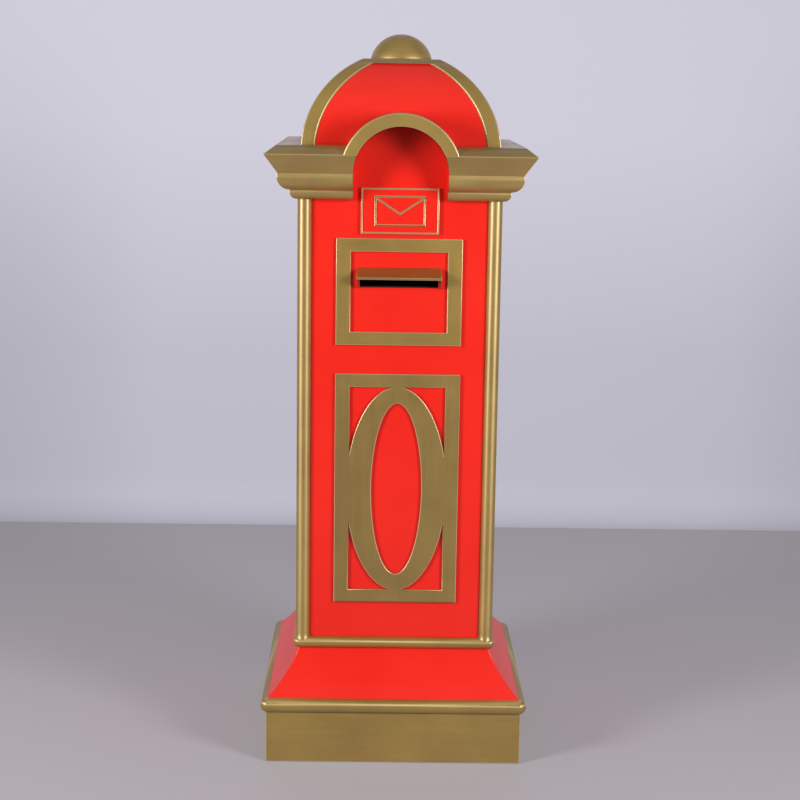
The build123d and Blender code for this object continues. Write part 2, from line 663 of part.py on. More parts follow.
# ---------------------------------------------------------------- cornice and arched niche
niche_opening = tunnel(ARCH_R, CORNICE_Z, TIP_FACE, PANEL_FACE)
with BuildPart() as arch_hood:
    with BuildSketch(front_plane(TIP_FACE)):
        with Locations((0, ARCH_Z)):
            Circle(ARCH_OUT_R)
            Circle(ARCH_R, mode=Mode.SUBTRACT)
        with Locations((0, TIP_Z)):
            Rectangle(2 * ARCH_OUT_R, ARCH_OUT_R * 2, align=(Align.CENTER, Align.MAX), mode=Mode.SUBTRACT)
    extrude(amount=-(TIP_OUT + HOOD_TAIL))
    with BuildSketch(front_plane(PANEL_FACE)):
        with Locations((0, ARCH_Z)):
            Circle(TONGUE_R + FIT)
        with Locations((0, DECK_UNDER)):
            Rectangle(2 * ARCH_OUT_R, 2 * ARCH_OUT_R, align=(Align.CENTER, Align.MAX))
    extrude(amount=-HOOD_TAIL, mode=Mode.SUBTRACT)
arch_hood.part.label = "arch_hood"
export_step(arch_hood.part, "parts/arch_hood.step")

# Cornice lengths: mitred at the corners, and the front one cut away for the arch.
for side, angle in SIDES.items():
    length = cornice_length(angle)
    if side == "front":
        for end, half in (("left", "negative"), ("right", "positive")):
            wedge = mitre_wedge(CORNICE_Z, CORNICE_H, angle, half)
            with BuildPart() as cornice:
                add(length)
                add(wedge, mode=Mode.INTERSECT)
                add(niche_opening, mode=Mode.SUBTRACT)
                with BuildSketch(front_plane(TIP_FACE)):
                    with Locations((0, ARCH_Z)):
                        Circle(ARCH_OUT_R)
                    with Locations((0, TIP_Z)):
                        Rectangle(2 * ARCH_OUT_R, 2 * ARCH_OUT_R, align=(Align.CENTER, Align.MAX),
                                  mode=Mode.SUBTRACT)
                extrude(amount=-TIP_OUT, mode=Mode.SUBTRACT)
            cornice.part.label = f"cornice_front_{end}"
            export_step(cornice.part, f"parts/cornice_front_{end}.step")
    else:
        wedge = mitre_wedge(CORNICE_Z, CORNICE_H, angle)
        with BuildPart() as cornice:
            add(length)
            add(wedge, mode=Mode.INTERSECT)
        cornice.part.label = f"cornice_{side}"
        export_step(cornice.part, f"parts/cornice_{side}.step")

# Red lining of the niche: jambs trimmed to the cornice section, and the arch's soffit.
lining_outside = tunnel(ARCH_R - FIT, CORNICE_Z, TIP_FACE - LINING_SETBACK, PANEL_FACE)
lining_inside = tunnel(ARCH_R - FIT - LINING_T, CORNICE_Z - CORNICE_H, TIP_FACE, PANEL_FACE)
jamb_section = cornice_length(SIDES["front"])
with BuildPart() as niche_lining:
    add(jamb_section)
    with BuildSketch(level_plane(TIP_Z)):
        with Locations((0, -PANEL_FACE)):
            Rectangle(2 * ARCH_R, TIP_OUT, align=(Align.CENTER, Align.MAX))
    extrude(amount=ARCH_OUT_R)
    add(lining_outside, mode=Mode.INTERSECT)
    add(lining_inside, mode=Mode.SUBTRACT)
niche_lining.part.label = "niche_lining"
export_step(niche_lining.part, "parts/niche_lining.step")

# Board closing the column under the dome, let in behind the cornice and notched for the arch.
with BuildPart() as cornice_deck:
    with BuildSketch(level_plane(DECK_UNDER)):
        Rectangle(2 * PANEL_FACE - 2 * FIT, 2 * PANEL_FACE - 2 * FIT)
        with Locations((0, -PANEL_FACE)):
            Rectangle(2 * (ARCH_OUT_R + FIT), HOOD_TAIL + FIT, align=(Align.CENTER, Align.MIN),
                      mode=Mode.SUBTRACT)
    extrude(amount=CORNICE_DECK_T)
cornice_deck.part.label = "cornice_deck"
export_step(cornice_deck.part, "parts/cornice_deck.step")

# ---------------------------------------------------------------- dome and finial
dome_outside = vault(DOME_R, LEDGE_Z, CAP_UNDER)
dome_inside = vault(DOME_R - DOME_WALL, LEDGE_Z, CAP_UNDER)
with BuildPart() as dome_shell:
    add(dome_outside)
    add(dome_inside, mode=Mode.SUBTRACT)
    with BuildSketch(front_plane(DOME_R)):
        with Locations((0, ARCH_Z)):
            Circle(ARCH_OUT_R + FIT)
    extrude(amount=-DOME_R / 2, mode=Mode.SUBTRACT)
dome_shell.part.label = "dome_shell"
export_step(dome_shell.part, "parts/dome_shell.step")

CAP_SKIRT_Z = DOME_TOP - CAP_SKIRT
RIB_R = DOME_R + RIB_T
RIB_FOOT_HALF = sqrt(RIB_R**2 - (LEDGE_Z - DOME_Z) ** 2)
RIB_CAP_HALF = sqrt(RIB_R**2 - (CAP_SKIRT_Z - DOME_Z) ** 2)


def strip_edge(half, width):
    """Where a rib's edge lies seen from above: its distance along the diagonal, and out from it."""
    return (2 * half - width) / sqrt(2), width / sqrt(2)


# Seen from above a rib is a wedge along the diagonal, through its edge at the ledge and at the cap.
foot_along, foot_out = strip_edge(RIB_FOOT_HALF, RIB_FOOT_W)
cap_along, cap_out = strip_edge(RIB_CAP_HALF, RIB_CAP_W)
rib_closing = (cap_out - foot_out) / (foot_along - cap_along)
rib_reach = sqrt(2) * RIB_R
root_out = cap_out + rib_closing * cap_along
tip_out = cap_out - rib_closing * (rib_reach - cap_along)
rib_outside = vault(RIB_R, LEDGE_Z, CAP_SKIRT_Z)
rib_inside = vault(DOME_R + FIT, LEDGE_Z, CAP_SKIRT_Z)
for corner, angle in CORNERS.items():
    with BuildPart() as dome_rib:
        add(rib_outside)
        add(rib_inside, mode=Mode.SUBTRACT)
        with BuildSketch(level_plane(LEDGE_Z, angle + 45)):
            Polygon((0, -root_out), (rib_reach, -tip_out), (rib_reach, tip_out), (0, root_out), align=None)
        extrude(amount=DOME_H, mode=Mode.INTERSECT)
    dome_rib.part.label = f"dome_rib_{corner}"
    export_step(dome_rib.part, f"parts/dome_rib_{corner}.step")

cap_outside = vault(RIB_R, CAP_SKIRT_Z, DOME_TOP)
cap_inside = vault(DOME_R + FIT, CAP_SKIRT_Z, CAP_UNDER)
with BuildPart() as dome_cap:
    add(cap_outside)
    add(cap_inside, mode=Mode.SUBTRACT)
    with BuildSketch(level_plane(CAP_UNDER)):
        Circle(BOLT_R + FIT)
    extrude(amount=CAP_T, mode=Mode.SUBTRACT)
dome_cap.part.label = "dome_cap"
export_step(dome_cap.part, "parts/dome_cap.step")

# Hollow moulded ball finial, cut off flat, with a boss that the bolt is set in.
with BuildPart() as finial:
    for shrink, mode in ((0, Mode.ADD), (FINIAL_WALL, Mode.SUBTRACT)):
        with BuildSketch(Plane.XZ):
            with Locations((0, FINIAL_TOP - FINIAL_R)):
                Circle(FINIAL_R - shrink)
            with Locations((0, DOME_TOP)):
                Rectangle(2 * FINIAL_R, 2 * FINIAL_R, align=Align.MIN, mode=Mode.INTERSECT)
        revolve(axis=Axis.Z, mode=mode)
    with BuildSketch(level_plane(DOME_TOP)):
        Circle(BOSS_R)
    extrude(amount=FINIAL_H - FINIAL_WALL / 2)
    with BuildSketch(level_plane(DOME_TOP)):
        Circle(BOLT_R + THREAD_GAP)
    extrude(amount=FINIAL_H / 2 + FIT, mode=Mode.SUBTRACT)
finial.part.label = "finial"
export_step(finial.part, "parts/finial.step")

with BuildPart() as finial_bolt:
    with BuildSketch(level_plane(CAP_UNDER - BOLT_BELOW)):
        Circle(BOLT_R)
    extrude(amount=BOLT_BELOW + CAP_T + FINIAL_H / 2)
    chamfer(finial_bolt.faces().sort_by(Axis.Z)[0].edges(), BOLT_R / 5)
finial_bolt.part.label = "finial_bolt"
export_step(finial_bolt.part, "parts/finial_bolt.step")

# Washer and nut under the cap plate.
with BuildPart() as finial_nut:
    with BuildSketch(level_plane(CAP_UNDER)):
        Circle(WASHER_R)
    extrude(amount=-WASHER_T)
    with BuildSketch(level_plane(CAP_UNDER - WASHER_T)):
        RegularPolygon(NUT_WIDE / 2, 6, major_radius=False)
    extrude(amount=-NUT_T)
    with BuildSketch(level_plane(CAP_UNDER)):
        Circle(BOLT_R + THREAD_GAP)
    extrude(amount=-(WASHER_T + NUT_T), mode=Mode.SUBTRACT)
finial_nut.part.label = "finial_nut"
export_step(finial_nut.part, "parts/finial_nut.step")

# ---------------------------------------------------------------- letter compartment
CLEAT_Z = COLUMN_FOOT + CLEAT_RISE
CLEAT_TOP = CLEAT_Z + CLEAT
with BuildPart() as floor_cleats:
    with BuildSketch(level_plane(CLEAT_Z)):
        for direction in (-1, 1):
            with Locations((direction * (PANEL_BACK - CLEAT / 2), 0)):
                Rectangle(CLEAT, 2 * (POST_FACE - FIT))
    extrude(amount=CLEAT)
floor_cleats.part.label = "floor_cleats"
export_step(floor_cleats.part, "parts/floor_cleats.step")

with BuildPart() as mail_floor:
    with BuildSketch(level_plane(CLEAT_TOP)):
        Rectangle(2 * (PANEL_BACK - FIT), 2 * (PANEL_BACK - FIT))
        with GridLocations(2 * PANEL_BACK, 2 * PANEL_BACK, 2, 2):
            Rectangle(2 * (POST_SIDE + FIT), 2 * (POST_SIDE + FIT), mode=Mode.SUBTRACT)
    extrude(amount=FLOOR_T)
mail_floor.part.label = "mail_floor"
export_step(mail_floor.part, "parts/mail_floor.step")

# ---------------------------------------------------------------- rear door
# Frame glued behind the opening, which the closed door stops against.
with BuildPart() as door_stop_frame:
    with BuildSketch(REAR.offset(STOP_FACE)):
        with Locations((0, DOOR_Z + DOOR_H / 2)):
            Rectangle(2 * (DOOR_HALF + STOP_BEHIND), DOOR_H + 2 * STOP_BEHIND)
            Rectangle(2 * (DOOR_HALF - STOP_LAP), DOOR_H - 2 * STOP_LAP, mode=Mode.SUBTRACT)
    extrude(amount=STOP_T)
door_stop_frame.part.label = "door_stop_frame"
export_step(door_stop_frame.part, "parts/door_stop_frame.step")

with BuildPart() as rear_door:
    with BuildSketch(REAR.offset(PANEL_BACK + DOOR_SEAT)):
        with Locations((0, DOOR_Z + DOOR_H / 2)):
            Rectangle(2 * (DOOR_HALF - DOOR_GAP), DOOR_H - 2 * DOOR_GAP)
        with Locations((-LOCK_X, LOCK_Z)):
            Circle(LOCK_R + FIT, mode=Mode.SUBTRACT)
    extrude(amount=PANEL_T - DOOR_SEAT)
    with BuildSketch(REAR.offset(PANEL_FACE)):
        with Locations(screw_spots(SCREW_OUT)):
            Circle(SCREW_R + THREAD_GAP)
    extrude(amount=-(SCREW_L + FIT), mode=Mode.SUBTRACT)
rear_door.part.label = "rear_door"
export_step(rear_door.part, "parts/rear_door.step")


def hinge_leaf(direction, first):
    """One leaf of the continuous hinge: a strip, and every second knuckle from the first."""
    with BuildPart() as leaf:
        with BuildSketch(REAR.offset(PANEL_FACE)):
            with Locations((-(HINGE_X + direction * (LEAF_INNER + HINGE_LEAF_W) / 2), HINGE_MID)):
                Rectangle(HINGE_LEAF_W - LEAF_INNER, HINGE_LEN)
            with Locations(screw_spots(direction * SCREW_OUT)):
                Circle(SCREW_R + THREAD_GAP, mode=Mode.SUBTRACT)
        extrude(amount=HINGE_LEAF_T)
        for knuckle in range(first, HINGE_KNUCKLES, 2):
            low = HINGE_BOTTOM + knuckle * KNUCKLE_PITCH + KNUCKLE_GAP / 2
            with BuildSketch(level_plane(low)):
                with Locations((HINGE_X, HINGE_Y)):
                    Circle(HINGE_R)
                with Locations((HINGE_X + direction * LEAF_INNER / 2, PANEL_FACE + HINGE_LEAF_T / 2)):
                    Rectangle(LEAF_INNER, HINGE_LEAF_T)
                with Locations((HINGE_X, HINGE_Y)):
                    Circle(HINGE_PIN_R + HINGE_PLAY, mode=Mode.SUBTRACT)
            extrude(amount=KNUCKLE_PITCH - KNUCKLE_GAP)
    return leaf.part


frame_leaf = hinge_leaf(-1, 0)
door_leaf = hinge_leaf(1, 1)
with BuildPart() as hinge_frame_leaf:
    add(frame_leaf)
hinge_frame_leaf.part.label = "hinge_frame_leaf"
export_step(hinge_frame_leaf.part, "parts/hinge_frame_leaf.step")

with BuildPart() as hinge_door_leaf:
    add(door_leaf)
hinge_door_leaf.part.label = "hinge_door_leaf"
export_step(hinge_door_leaf.part, "parts/hinge_door_leaf.step")

# Pin through all the knuckles, with a peened head at each end.
with BuildPart() as hinge_pin:
    with BuildSketch(level_plane(HINGE_BOTTOM)):
        with Locations((HINGE_X, HINGE_Y)):
            Circle(HINGE_PIN_R)
    extrude(amount=HINGE_LEN)
    for end, thick in ((HINGE_BOTTOM, -HINGE_PIN_R / 2), (HINGE_BOTTOM + HINGE_LEN, HINGE_PIN_R / 2)):
        with BuildSketch(level_plane(end)):
            with Locations((HINGE_X, HINGE_Y)):
                Circle(HINGE_PIN_R + 2 * HINGE_PLAY + 0.6)
        extrude(amount=thick)
hinge_pin.part.label = "hinge_pin"
export_step(hinge_pin.part, "parts/hinge_pin.step")

# Domed screws through each leaf.
HINGE_SCREW_SIDES = {"frame": -1, "door": 1}
for name, direction in HINGE_SCREW_SIDES.items():
    with BuildPart() as hinge_screws:
        with BuildSketch(REAR.offset(PANEL_FACE + HINGE_LEAF_T)):
            with Locations(screw_spots(direction * SCREW_OUT)):
                Circle(SCREW_R)
        extrude(amount=-(SCREW_L + HINGE_LEAF_T))
        with BuildSketch(REAR.offset(PANEL_FACE + HINGE_LEAF_T)):
            with Locations(screw_spots(direction * SCREW_OUT)):
                Circle(SCREW_HEAD_R)
        extrude(amount=SCREW_HEAD_R / 3)
        chamfer(hinge_screws.faces().group_by(Axis.Y)[-1].edges(), SCREW_HEAD_R / 4)
    hinge_screws.part.label = f"hinge_{name}_screws"
    export_step(hinge_screws.part, f"parts/hinge_{name}_screws.step")

# ---------------------------------------------------------------- cam lock
LOCK_INNER = CAM_FACE + CAM_PLAY
with BuildPart() as lock_body:
    with BuildSketch(REAR.offset(LOCK_INNER)):
        with Locations((-LOCK_X, LOCK_Z)):
            Circle(LOCK_R)
    extrude(amount=PANEL_FACE - LOCK_INNER)
    with BuildSketch(REAR.offset(PANEL_FACE)):
        with Locations((-LOCK_X, LOCK_Z)):
            Circle(LOCK_FLANGE_R)
    extrude(amount=LOCK_FLANGE_T)
    chamfer(lock_body.faces().sort_by(Axis.Y)[-1].edges(), LOCK_FLANGE_T / 3)
    with BuildSketch(REAR.offset(PANEL_FACE + LOCK_FLANGE_T)):
        with Locations((-LOCK_X, LOCK_Z)):
            Circle(PLUG_R + PLUG_PLAY)
    extrude(amount=-(PANEL_FACE + LOCK_FLANGE_T - LOCK_INNER), mode=Mode.SUBTRACT)
lock_body.part.label = "lock_body"
export_step(lock_body.part, "parts/lock_body.step")

with BuildPart() as lock_nut:
    with BuildSketch(REAR.offset(PANEL_BACK + DOOR_SEAT)):
        with Locations((-LOCK_X, LOCK_Z)):
            RegularPolygon(LOCK_NUT_WIDE / 2, 6, major_radius=False)
            Circle(LOCK_R + THREAD_GAP, mode=Mode.SUBTRACT)
    extrude(amount=-LOCK_NUT_T)
lock_nut.part.label = "lock_nut"
export_step(lock_nut.part, "parts/lock_nut.step")

# Plug: turns in the body, with a keyway outside and a square that drives the cam inside.
with BuildPart() as lock_plug:
    with BuildSketch(REAR.offset(CAM_FACE)):
        with Locations((-LOCK_X, LOCK_Z)):
            Circle(PLUG_R)
    extrude(amount=PANEL_FACE + LOCK_FLANGE_T - CAM_FACE)
    with BuildSketch(REAR.offset(CAM_FACE)):
        with Locations((-LOCK_X, LOCK_Z)):
            Rectangle(CAM_SQUARE, CAM_SQUARE)
    extrude(amount=-CAM_T)
    with BuildSketch(REAR.offset(PANEL_FACE + LOCK_FLANGE_T)):
        with Locations((-LOCK_X, LOCK_Z)):
            Rectangle(KEYWAY_W, KEYWAY_L)
    extrude(amount=-KEYWAY_D, mode=Mode.SUBTRACT)
lock_plug.part.label = "lock_plug"
export_step(lock_plug.part, "parts/lock_plug.step")

# Cam: hangs straight down when unlocked, and turns a quarter towards the frame to lock.
with BuildPart() as lock_cam:
    with BuildSketch(REAR.offset(CAM_FACE)):
        with Locations((-LOCK_X, LOCK_Z)):
            Circle(CAM_W / 2)
            Rectangle(CAM_W, CAM_L, align=(Align.CENTER, Align.MAX))
            Rectangle(CAM_SQUARE + FIT, CAM_SQUARE + FIT, mode=Mode.SUBTRACT)
    extrude(amount=-CAM_T)
lock_cam.part.label = "lock_cam"
export_step(lock_cam.part, "parts/lock_cam.step")

with BuildPart() as cam_screw:
    with BuildSketch(REAR.offset(CAM_FACE - CAM_T)):
        with Locations((-LOCK_X, LOCK_Z)):
            Circle(CAM_SCREW_R)
    extrude(amount=-CAM_SCREW_T)
    chamfer(cam_screw.faces().sort_by(Axis.Y)[0].edges(), CAM_SCREW_T / 4)
cam_screw.part.label = "cam_screw"
export_step(cam_screw.part, "parts/cam_screw.step")
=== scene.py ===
import math

import bmesh
import bpy
import numpy as np
from mathutils import Matrix, Vector
from mathutils.geometry import tessellate_polygon


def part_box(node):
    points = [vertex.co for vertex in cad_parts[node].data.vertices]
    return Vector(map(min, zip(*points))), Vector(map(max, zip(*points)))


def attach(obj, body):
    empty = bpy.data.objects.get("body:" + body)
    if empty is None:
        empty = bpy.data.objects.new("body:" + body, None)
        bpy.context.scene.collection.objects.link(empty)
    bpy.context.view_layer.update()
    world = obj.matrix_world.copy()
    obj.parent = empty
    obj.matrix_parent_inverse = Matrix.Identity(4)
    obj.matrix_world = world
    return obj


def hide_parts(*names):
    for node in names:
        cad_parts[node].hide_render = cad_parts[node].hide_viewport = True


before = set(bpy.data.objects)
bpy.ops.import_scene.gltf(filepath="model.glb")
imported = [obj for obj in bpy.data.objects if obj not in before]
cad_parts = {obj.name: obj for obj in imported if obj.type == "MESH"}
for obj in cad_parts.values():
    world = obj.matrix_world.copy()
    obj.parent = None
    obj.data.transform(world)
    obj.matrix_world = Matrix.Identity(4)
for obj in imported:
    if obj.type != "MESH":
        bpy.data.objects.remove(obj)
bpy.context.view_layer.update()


# ---------------------------------------------------------------- plinth
# Four painted boards, mitred at the corners, round a plywood base board that stands on rubber pads.
# The boards are brushed with gold paint lengthwise, and their arrises are eased with sandpaper.
class Signal:
    """A value on its way through a material's nodes; + - and * between signals and numbers add Math nodes."""

    def __init__(self, tree, socket=None):
        self.tree, self.socket = tree, socket

    def node(self, kind, settings=(), sockets=(), out=0):
        """Adds a node: its settings first, then the value or incoming signal of each socket."""
        made = self.tree.nodes.new("ShaderNode" + kind)
        for key, value in dict(settings).items():
            setattr(made, key, value)
        for key, value in dict(sockets).items():
            if isinstance(value, Signal):
                self.tree.links.new(value.socket, made.inputs[key])
            else:
                made.inputs[key].default_value = value
        return Signal(self.tree, made.outputs[out])

    def maths(self, operation, first, second):
        """A Math node on two signals or numbers, in the order that the operation reads them."""
        return self.node("Math", {"operation": operation}, {0: first, 1: second})

    def __add__(self, other):
        return self.maths("ADD", self, other)

    def __sub__(self, other):
        return self.maths("SUBTRACT", self, other)

    def __mul__(self, other):
        return self.maths("MULTIPLY", self, other)

    def __rsub__(self, other):
        return self.maths("SUBTRACT", other, self)

    __radd__ = __add__

    def between(self, low, high):
        """0 where the signal is below low, 1 where it is above high, and straight in between."""
        return self.node("MapRange", {"clamp": True}, {"Value": self, "From Min": low, "From Max": high})

    def mix(self, first, second):
        """The first colour where this signal is 0, the second where it is 1."""
        return self.node("Mix", {"data_type": "RGBA"}, {0: self, 6: first, 7: second}, 2)

    def grain(self, scale, detail=2.0, roughness=0.5, distortion=0.0):
        """Noise from 0 to 1 read at this signal's coordinates.

        The scale is in cycles per metre: one number, or one each for X, Y and Z.
        """
        scale = scale if isinstance(scale, tuple) else (scale, scale, scale)
        placed = self.node("Mapping", {}, {"Vector": self, "Scale": scale})
        return self.node("TexNoise", {}, {"Vector": placed, "Scale": 1.0, "Detail": detail,
                                          "Roughness": roughness, "Distortion": distortion})

    def spot(self):
        """Object coordinates of the shaded spot, in metres."""
        return self.node("TexCoord", {}, {}, "Object")

    def upwards(self):
        """The Z part of a signal of coordinates."""
        return self.node("SeparateXYZ", {}, {0: self}, "Z")

    def ray(self, kind):
        """1 for rays of a kind, such as Camera or Glossy, and 0 for all others."""
        return self.node("LightPath", {}, {}, f"Is {kind} Ray")


def finish(name, build, **constants):
    """A material: build(signal) returns its shader's varying inputs, and the constants are set on it."""
    material = bpy.data.materials.new(name)
    material.use_nodes = True
    tree = material.node_tree
    shader = tree.nodes["Principled BSDF"]
    for key, value in build(Signal(tree)).items():
        tree.links.new(value.socket, shader.inputs[key])
    for key, value in constants.items():
        shader.inputs[key.replace("_", " ")].default_value = value
    return material


def coat(made, *names):
    """Gives CAD nodes a finish through their material slots."""
    for name in names:
        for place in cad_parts[name].material_slots:
            place.material = made


def bumped(signal, height, depth):
    """Normal tilted by a height signal, where a rise of 1 stands depth metres high."""
    return signal.node("Bump", {}, {"Strength": 1.0, "Distance": depth, "Height": height}, "Normal")


# Colours of the gold paint: in and over the streaks, then a painted highlight for an arris, dirty at the
# foot, and a brown mixed in as painted shade.
GOLD_LOW, GOLD_HIGH = (0.325, 0.195, 0.023, 1), (0.445, 0.288, 0.043, 1)
GOLD_ARRIS_HIGHLIGHT, GOLD_DIRTY, GOLD_SHADE_BROWN = (0.74, 0.52, 0.26, 1), (0.42, 0.225, 0.050, 1), (0.10, 0.045, 0.010, 1)
# The way a drawn finish runs, in turns: along a length that lies level, or along one that stands upright.
LEVEL, UPRIGHT = 0.0, 0.25


def gold_paint(name, rough=0.44, furrow=0.00012, drawn=None, warm_foot=0.0, painted_shade=0.0):
    """Satin gold paint: streaks run along the piece's own run map, clouds drift through Object coordinates.

    The streaks stand furrow metres high. Arrises are worn smoother, and their colour is painted paler as a
    highlight along the edges. The foot has caught dirt up to warm_foot metres, and a share of brown mixed
    into the whole colour is painted shade, a darker copy of the gold. A drawn finish, given by its strength
    and the way it runs, stretches the highlights along the moulding.
    """
    def build(signal):
        run = signal.node("UVMap", {"uv_map": "run"}, {}, "UV")
        place = signal.spot()
        bristle = run.grain((9.0, 620.0, 1.0), 3.0, 0.6)
        stroke = run.grain((5.0, 95.0, 1.0), 2.0, 0.55, 0.4)
        cloud = place.grain(7.0, 3.0, 0.6)
        fleck = place.grain(900.0, 1.0)
        tone = stroke * 0.25 + bristle * 0.15 + cloud * 0.6
        shade = tone.between(0.34, 0.66).mix(GOLD_LOW, GOLD_HIGH)
        if warm_foot:
            dirt = (1 - place.upwards().between(0.0, warm_foot)) * 0.35
            shade = dirt.mix(shade, GOLD_DIRTY)
        arris = signal.node("Attribute", {"attribute_type": "GEOMETRY", "attribute_name": "arris"}, {}, "Fac")
        # Painted shade: a share of brown darkens the whole colour, making a darker copy of the gold.
        if painted_shade:
            shade = signal.node("Mix", {"data_type": "RGBA"}, {0: painted_shade, 6: shade, 7: GOLD_SHADE_BROWN}, 2)
        # Painted highlight: narrow arris faces are mixed towards a pale gold.
        shade = (arris * 0.7).mix(shade, GOLD_ARRIS_HIGHLIGHT)
        sheen = rough + (bristle - 0.5) * 0.12 + (cloud - 0.5) * 0.10 - arris * 0.08
        height = (bristle * 0.6 + stroke * 0.3 + fleck * 0.1) * furrow
        return {"Base Color": shade, "Roughness": sheen, "Normal": bumped(signal, height, 1.0)}
    if drawn:
        strength, way = drawn
        return finish(name, build, Metallic=0.52, Specular_IOR_Level=0.9, IOR=1.85, Coat_Weight=0.5,
                      Coat_IOR=1.75, Coat_Roughness=rough - 0.06, Anisotropic=strength,
                      Anisotropic_Rotation=way)
    return finish(name, build, Metallic=0.62, Specular_IOR_Level=0.5, Coat_Weight=1.0, Coat_IOR=1.75,
                  Coat_Roughness=rough - 0.04)


def bare_board(name):
    """Unpainted board: long soft grain along X, a little darker in the pores."""
    def build(signal):
        place = signal.spot()
        grain = place.grain((6.0, 90.0, 90.0), 4.0, 0.6, 0.6)
        pore = place.grain((40.0, 900.0, 900.0), 2.0, 0.6)
        shade = grain.between(0.3, 0.7).mix((0.42, 0.27, 0.145, 1), (0.60, 0.43, 0.26, 1))
        shade = (pore.between(0.62, 0.75) * 0.4).mix(shade, (0.25, 0.15, 0.08, 1))
        return {"Base Color": shade, "Roughness": 0.62 + grain * 0.2,
                "Normal": bumped(signal, grain + pore, 0.0002)}
    return finish(name, build, Specular_IOR_Level=0.35)


def pad_rubber(name):
    """Matt black rubber with a fine dusty grain."""
    def build(signal):
        dust = signal.spot().grain(160.0, 4.0, 0.65)
        shade = dust.between(0.35, 0.8).mix((0.018, 0.018, 0.019, 1), (0.07, 0.066, 0.062, 1))
        return {"Base Color": shade, "Roughness": 0.72 + dust * 0.18, "Normal": bumped(signal, dust, 0.0002)}
    return finish(name, build)


def turned(points, quarters):
    """Points after 0 to 3 quarter turns about Z: (x, y) becomes (x cos a - y sin a, x sin a + y cos a)."""
    cos, sin = ((1, 0), (0, 1), (-1, 0), (0, -1))[quarters]
    return points @ np.array([[cos, sin, 0], [-sin, cos, 0], [0, 0, 1.0]])


def arc(x, z, radius, angle):
    """Points (x + r cos a, z + r sin a) of a circle, at each angle."""
    return np.stack([x + radius * np.cos(angle), z + radius * np.sin(angle)], 1)


def eased(corners, reach, steps=5):
    """A section with its corners rounded: near corner P the line follows (1-t)^2 A + 2t(1-t) P + t^2 B.

    A and B lie reach before and after P on the two lines that meet there, and t goes from 0 to 1.
    """
    corners = np.asarray(corners, float)
    reach = np.broadcast_to(np.asarray(reach, float), len(corners))[:, None, None]
    def towards(other):
        step = other - corners
        return step / np.maximum(np.linalg.norm(step, axis=1, keepdims=True), 1e-9)
    middle = corners[:, None]
    before = middle + reach * towards(np.roll(corners, 1, 0))[:, None]
    after = middle + reach * towards(np.roll(corners, -1, 0))[:, None]
    t = np.linspace(0, 1, steps)[:, None]
    return ((1 - t) ** 2 * before + 2 * t * (1 - t) * middle + t**2 * after).reshape(-1, 2)


def mitred(outline, ease, start=None):
    """The front side of a square moulding, from mitre to mitre or from a cut at x = start to the right mitre.

    An outline point d from the middle and z high runs along X at y = -d. Towards a mitre it turns through
    45 degrees on a circle of radius ease: x = d - ease + ease sin t, y = -(d - ease + ease cos t).
    """
    d, z = outline[:, :1], outline[:, 1:]
    t = np.linspace(0, math.pi / 4, 6)
    right = np.stack(np.broadcast_arrays(d - ease + ease * np.sin(t), ease - d - ease * np.cos(t), z), -1)
    left = right[:, ::-1] * (-1, 1, 1)
    if start is not None:
        left = np.stack([start, -d[:, 0], z[:, 0]], -1)[:, None]
    return np.concatenate([left, right], 1)


def square_ring(outline, ease):
    """The four sides of a square moulding, joined at their mitres: the front after 0 to 3 quarter turns."""
    front = mitred(outline, ease)
    return np.concatenate([turned(front, side)[:, :-1] for side in range(4)] + [front[:, :1]], 1)


def strips(outer, inner):
    """Strips that join two sheets along their first columns and along their last."""
    return [np.stack([outer[:, end], inner[:, end]], 1) for end in (0, -1)]


def boarded(outline, ease, start=None):
    """Sheets of a solid length of moulding: its face, its flat back and the strips that close both ends."""
    face = mitred(outline, ease, start)
    flat = np.stack([np.full(len(outline), outline[0, 0]), outline[:, 1]], 1)
    back = mitred(flat, ease, start)
    return [face, back, *strips(face, back)]


def capped(tube):
    """Flat faces over both ends of a tube, whose rows run lengthwise and whose last row repeats the first."""
    return [(tube[:-1, end], [range(len(tube) - 1)]) for end in (0, -1)]


def quads(rows, columns, start=0):
    """The corners of each cell of a grid, whose points are numbered row by row from start."""
    first = np.arange(rows - 1)[:, None] * columns + np.arange(columns - 1)
    return (first.reshape(-1, 1) + np.array([0, 1, columns + 1, columns]) + start).tolist()


# Faces narrower than ARRIS are arrises, unless they are SQUARE_ON: their normal all but follows an axis.
# Points within WELD of each other are one, edges under SLIVER go, and bends of more than CREASE look sharp.
ARRIS, SQUARE_ON = 0.0008, 0.995
WELD, SLIVER = 2e-6, 1e-6
CREASE = math.radians(38.0)


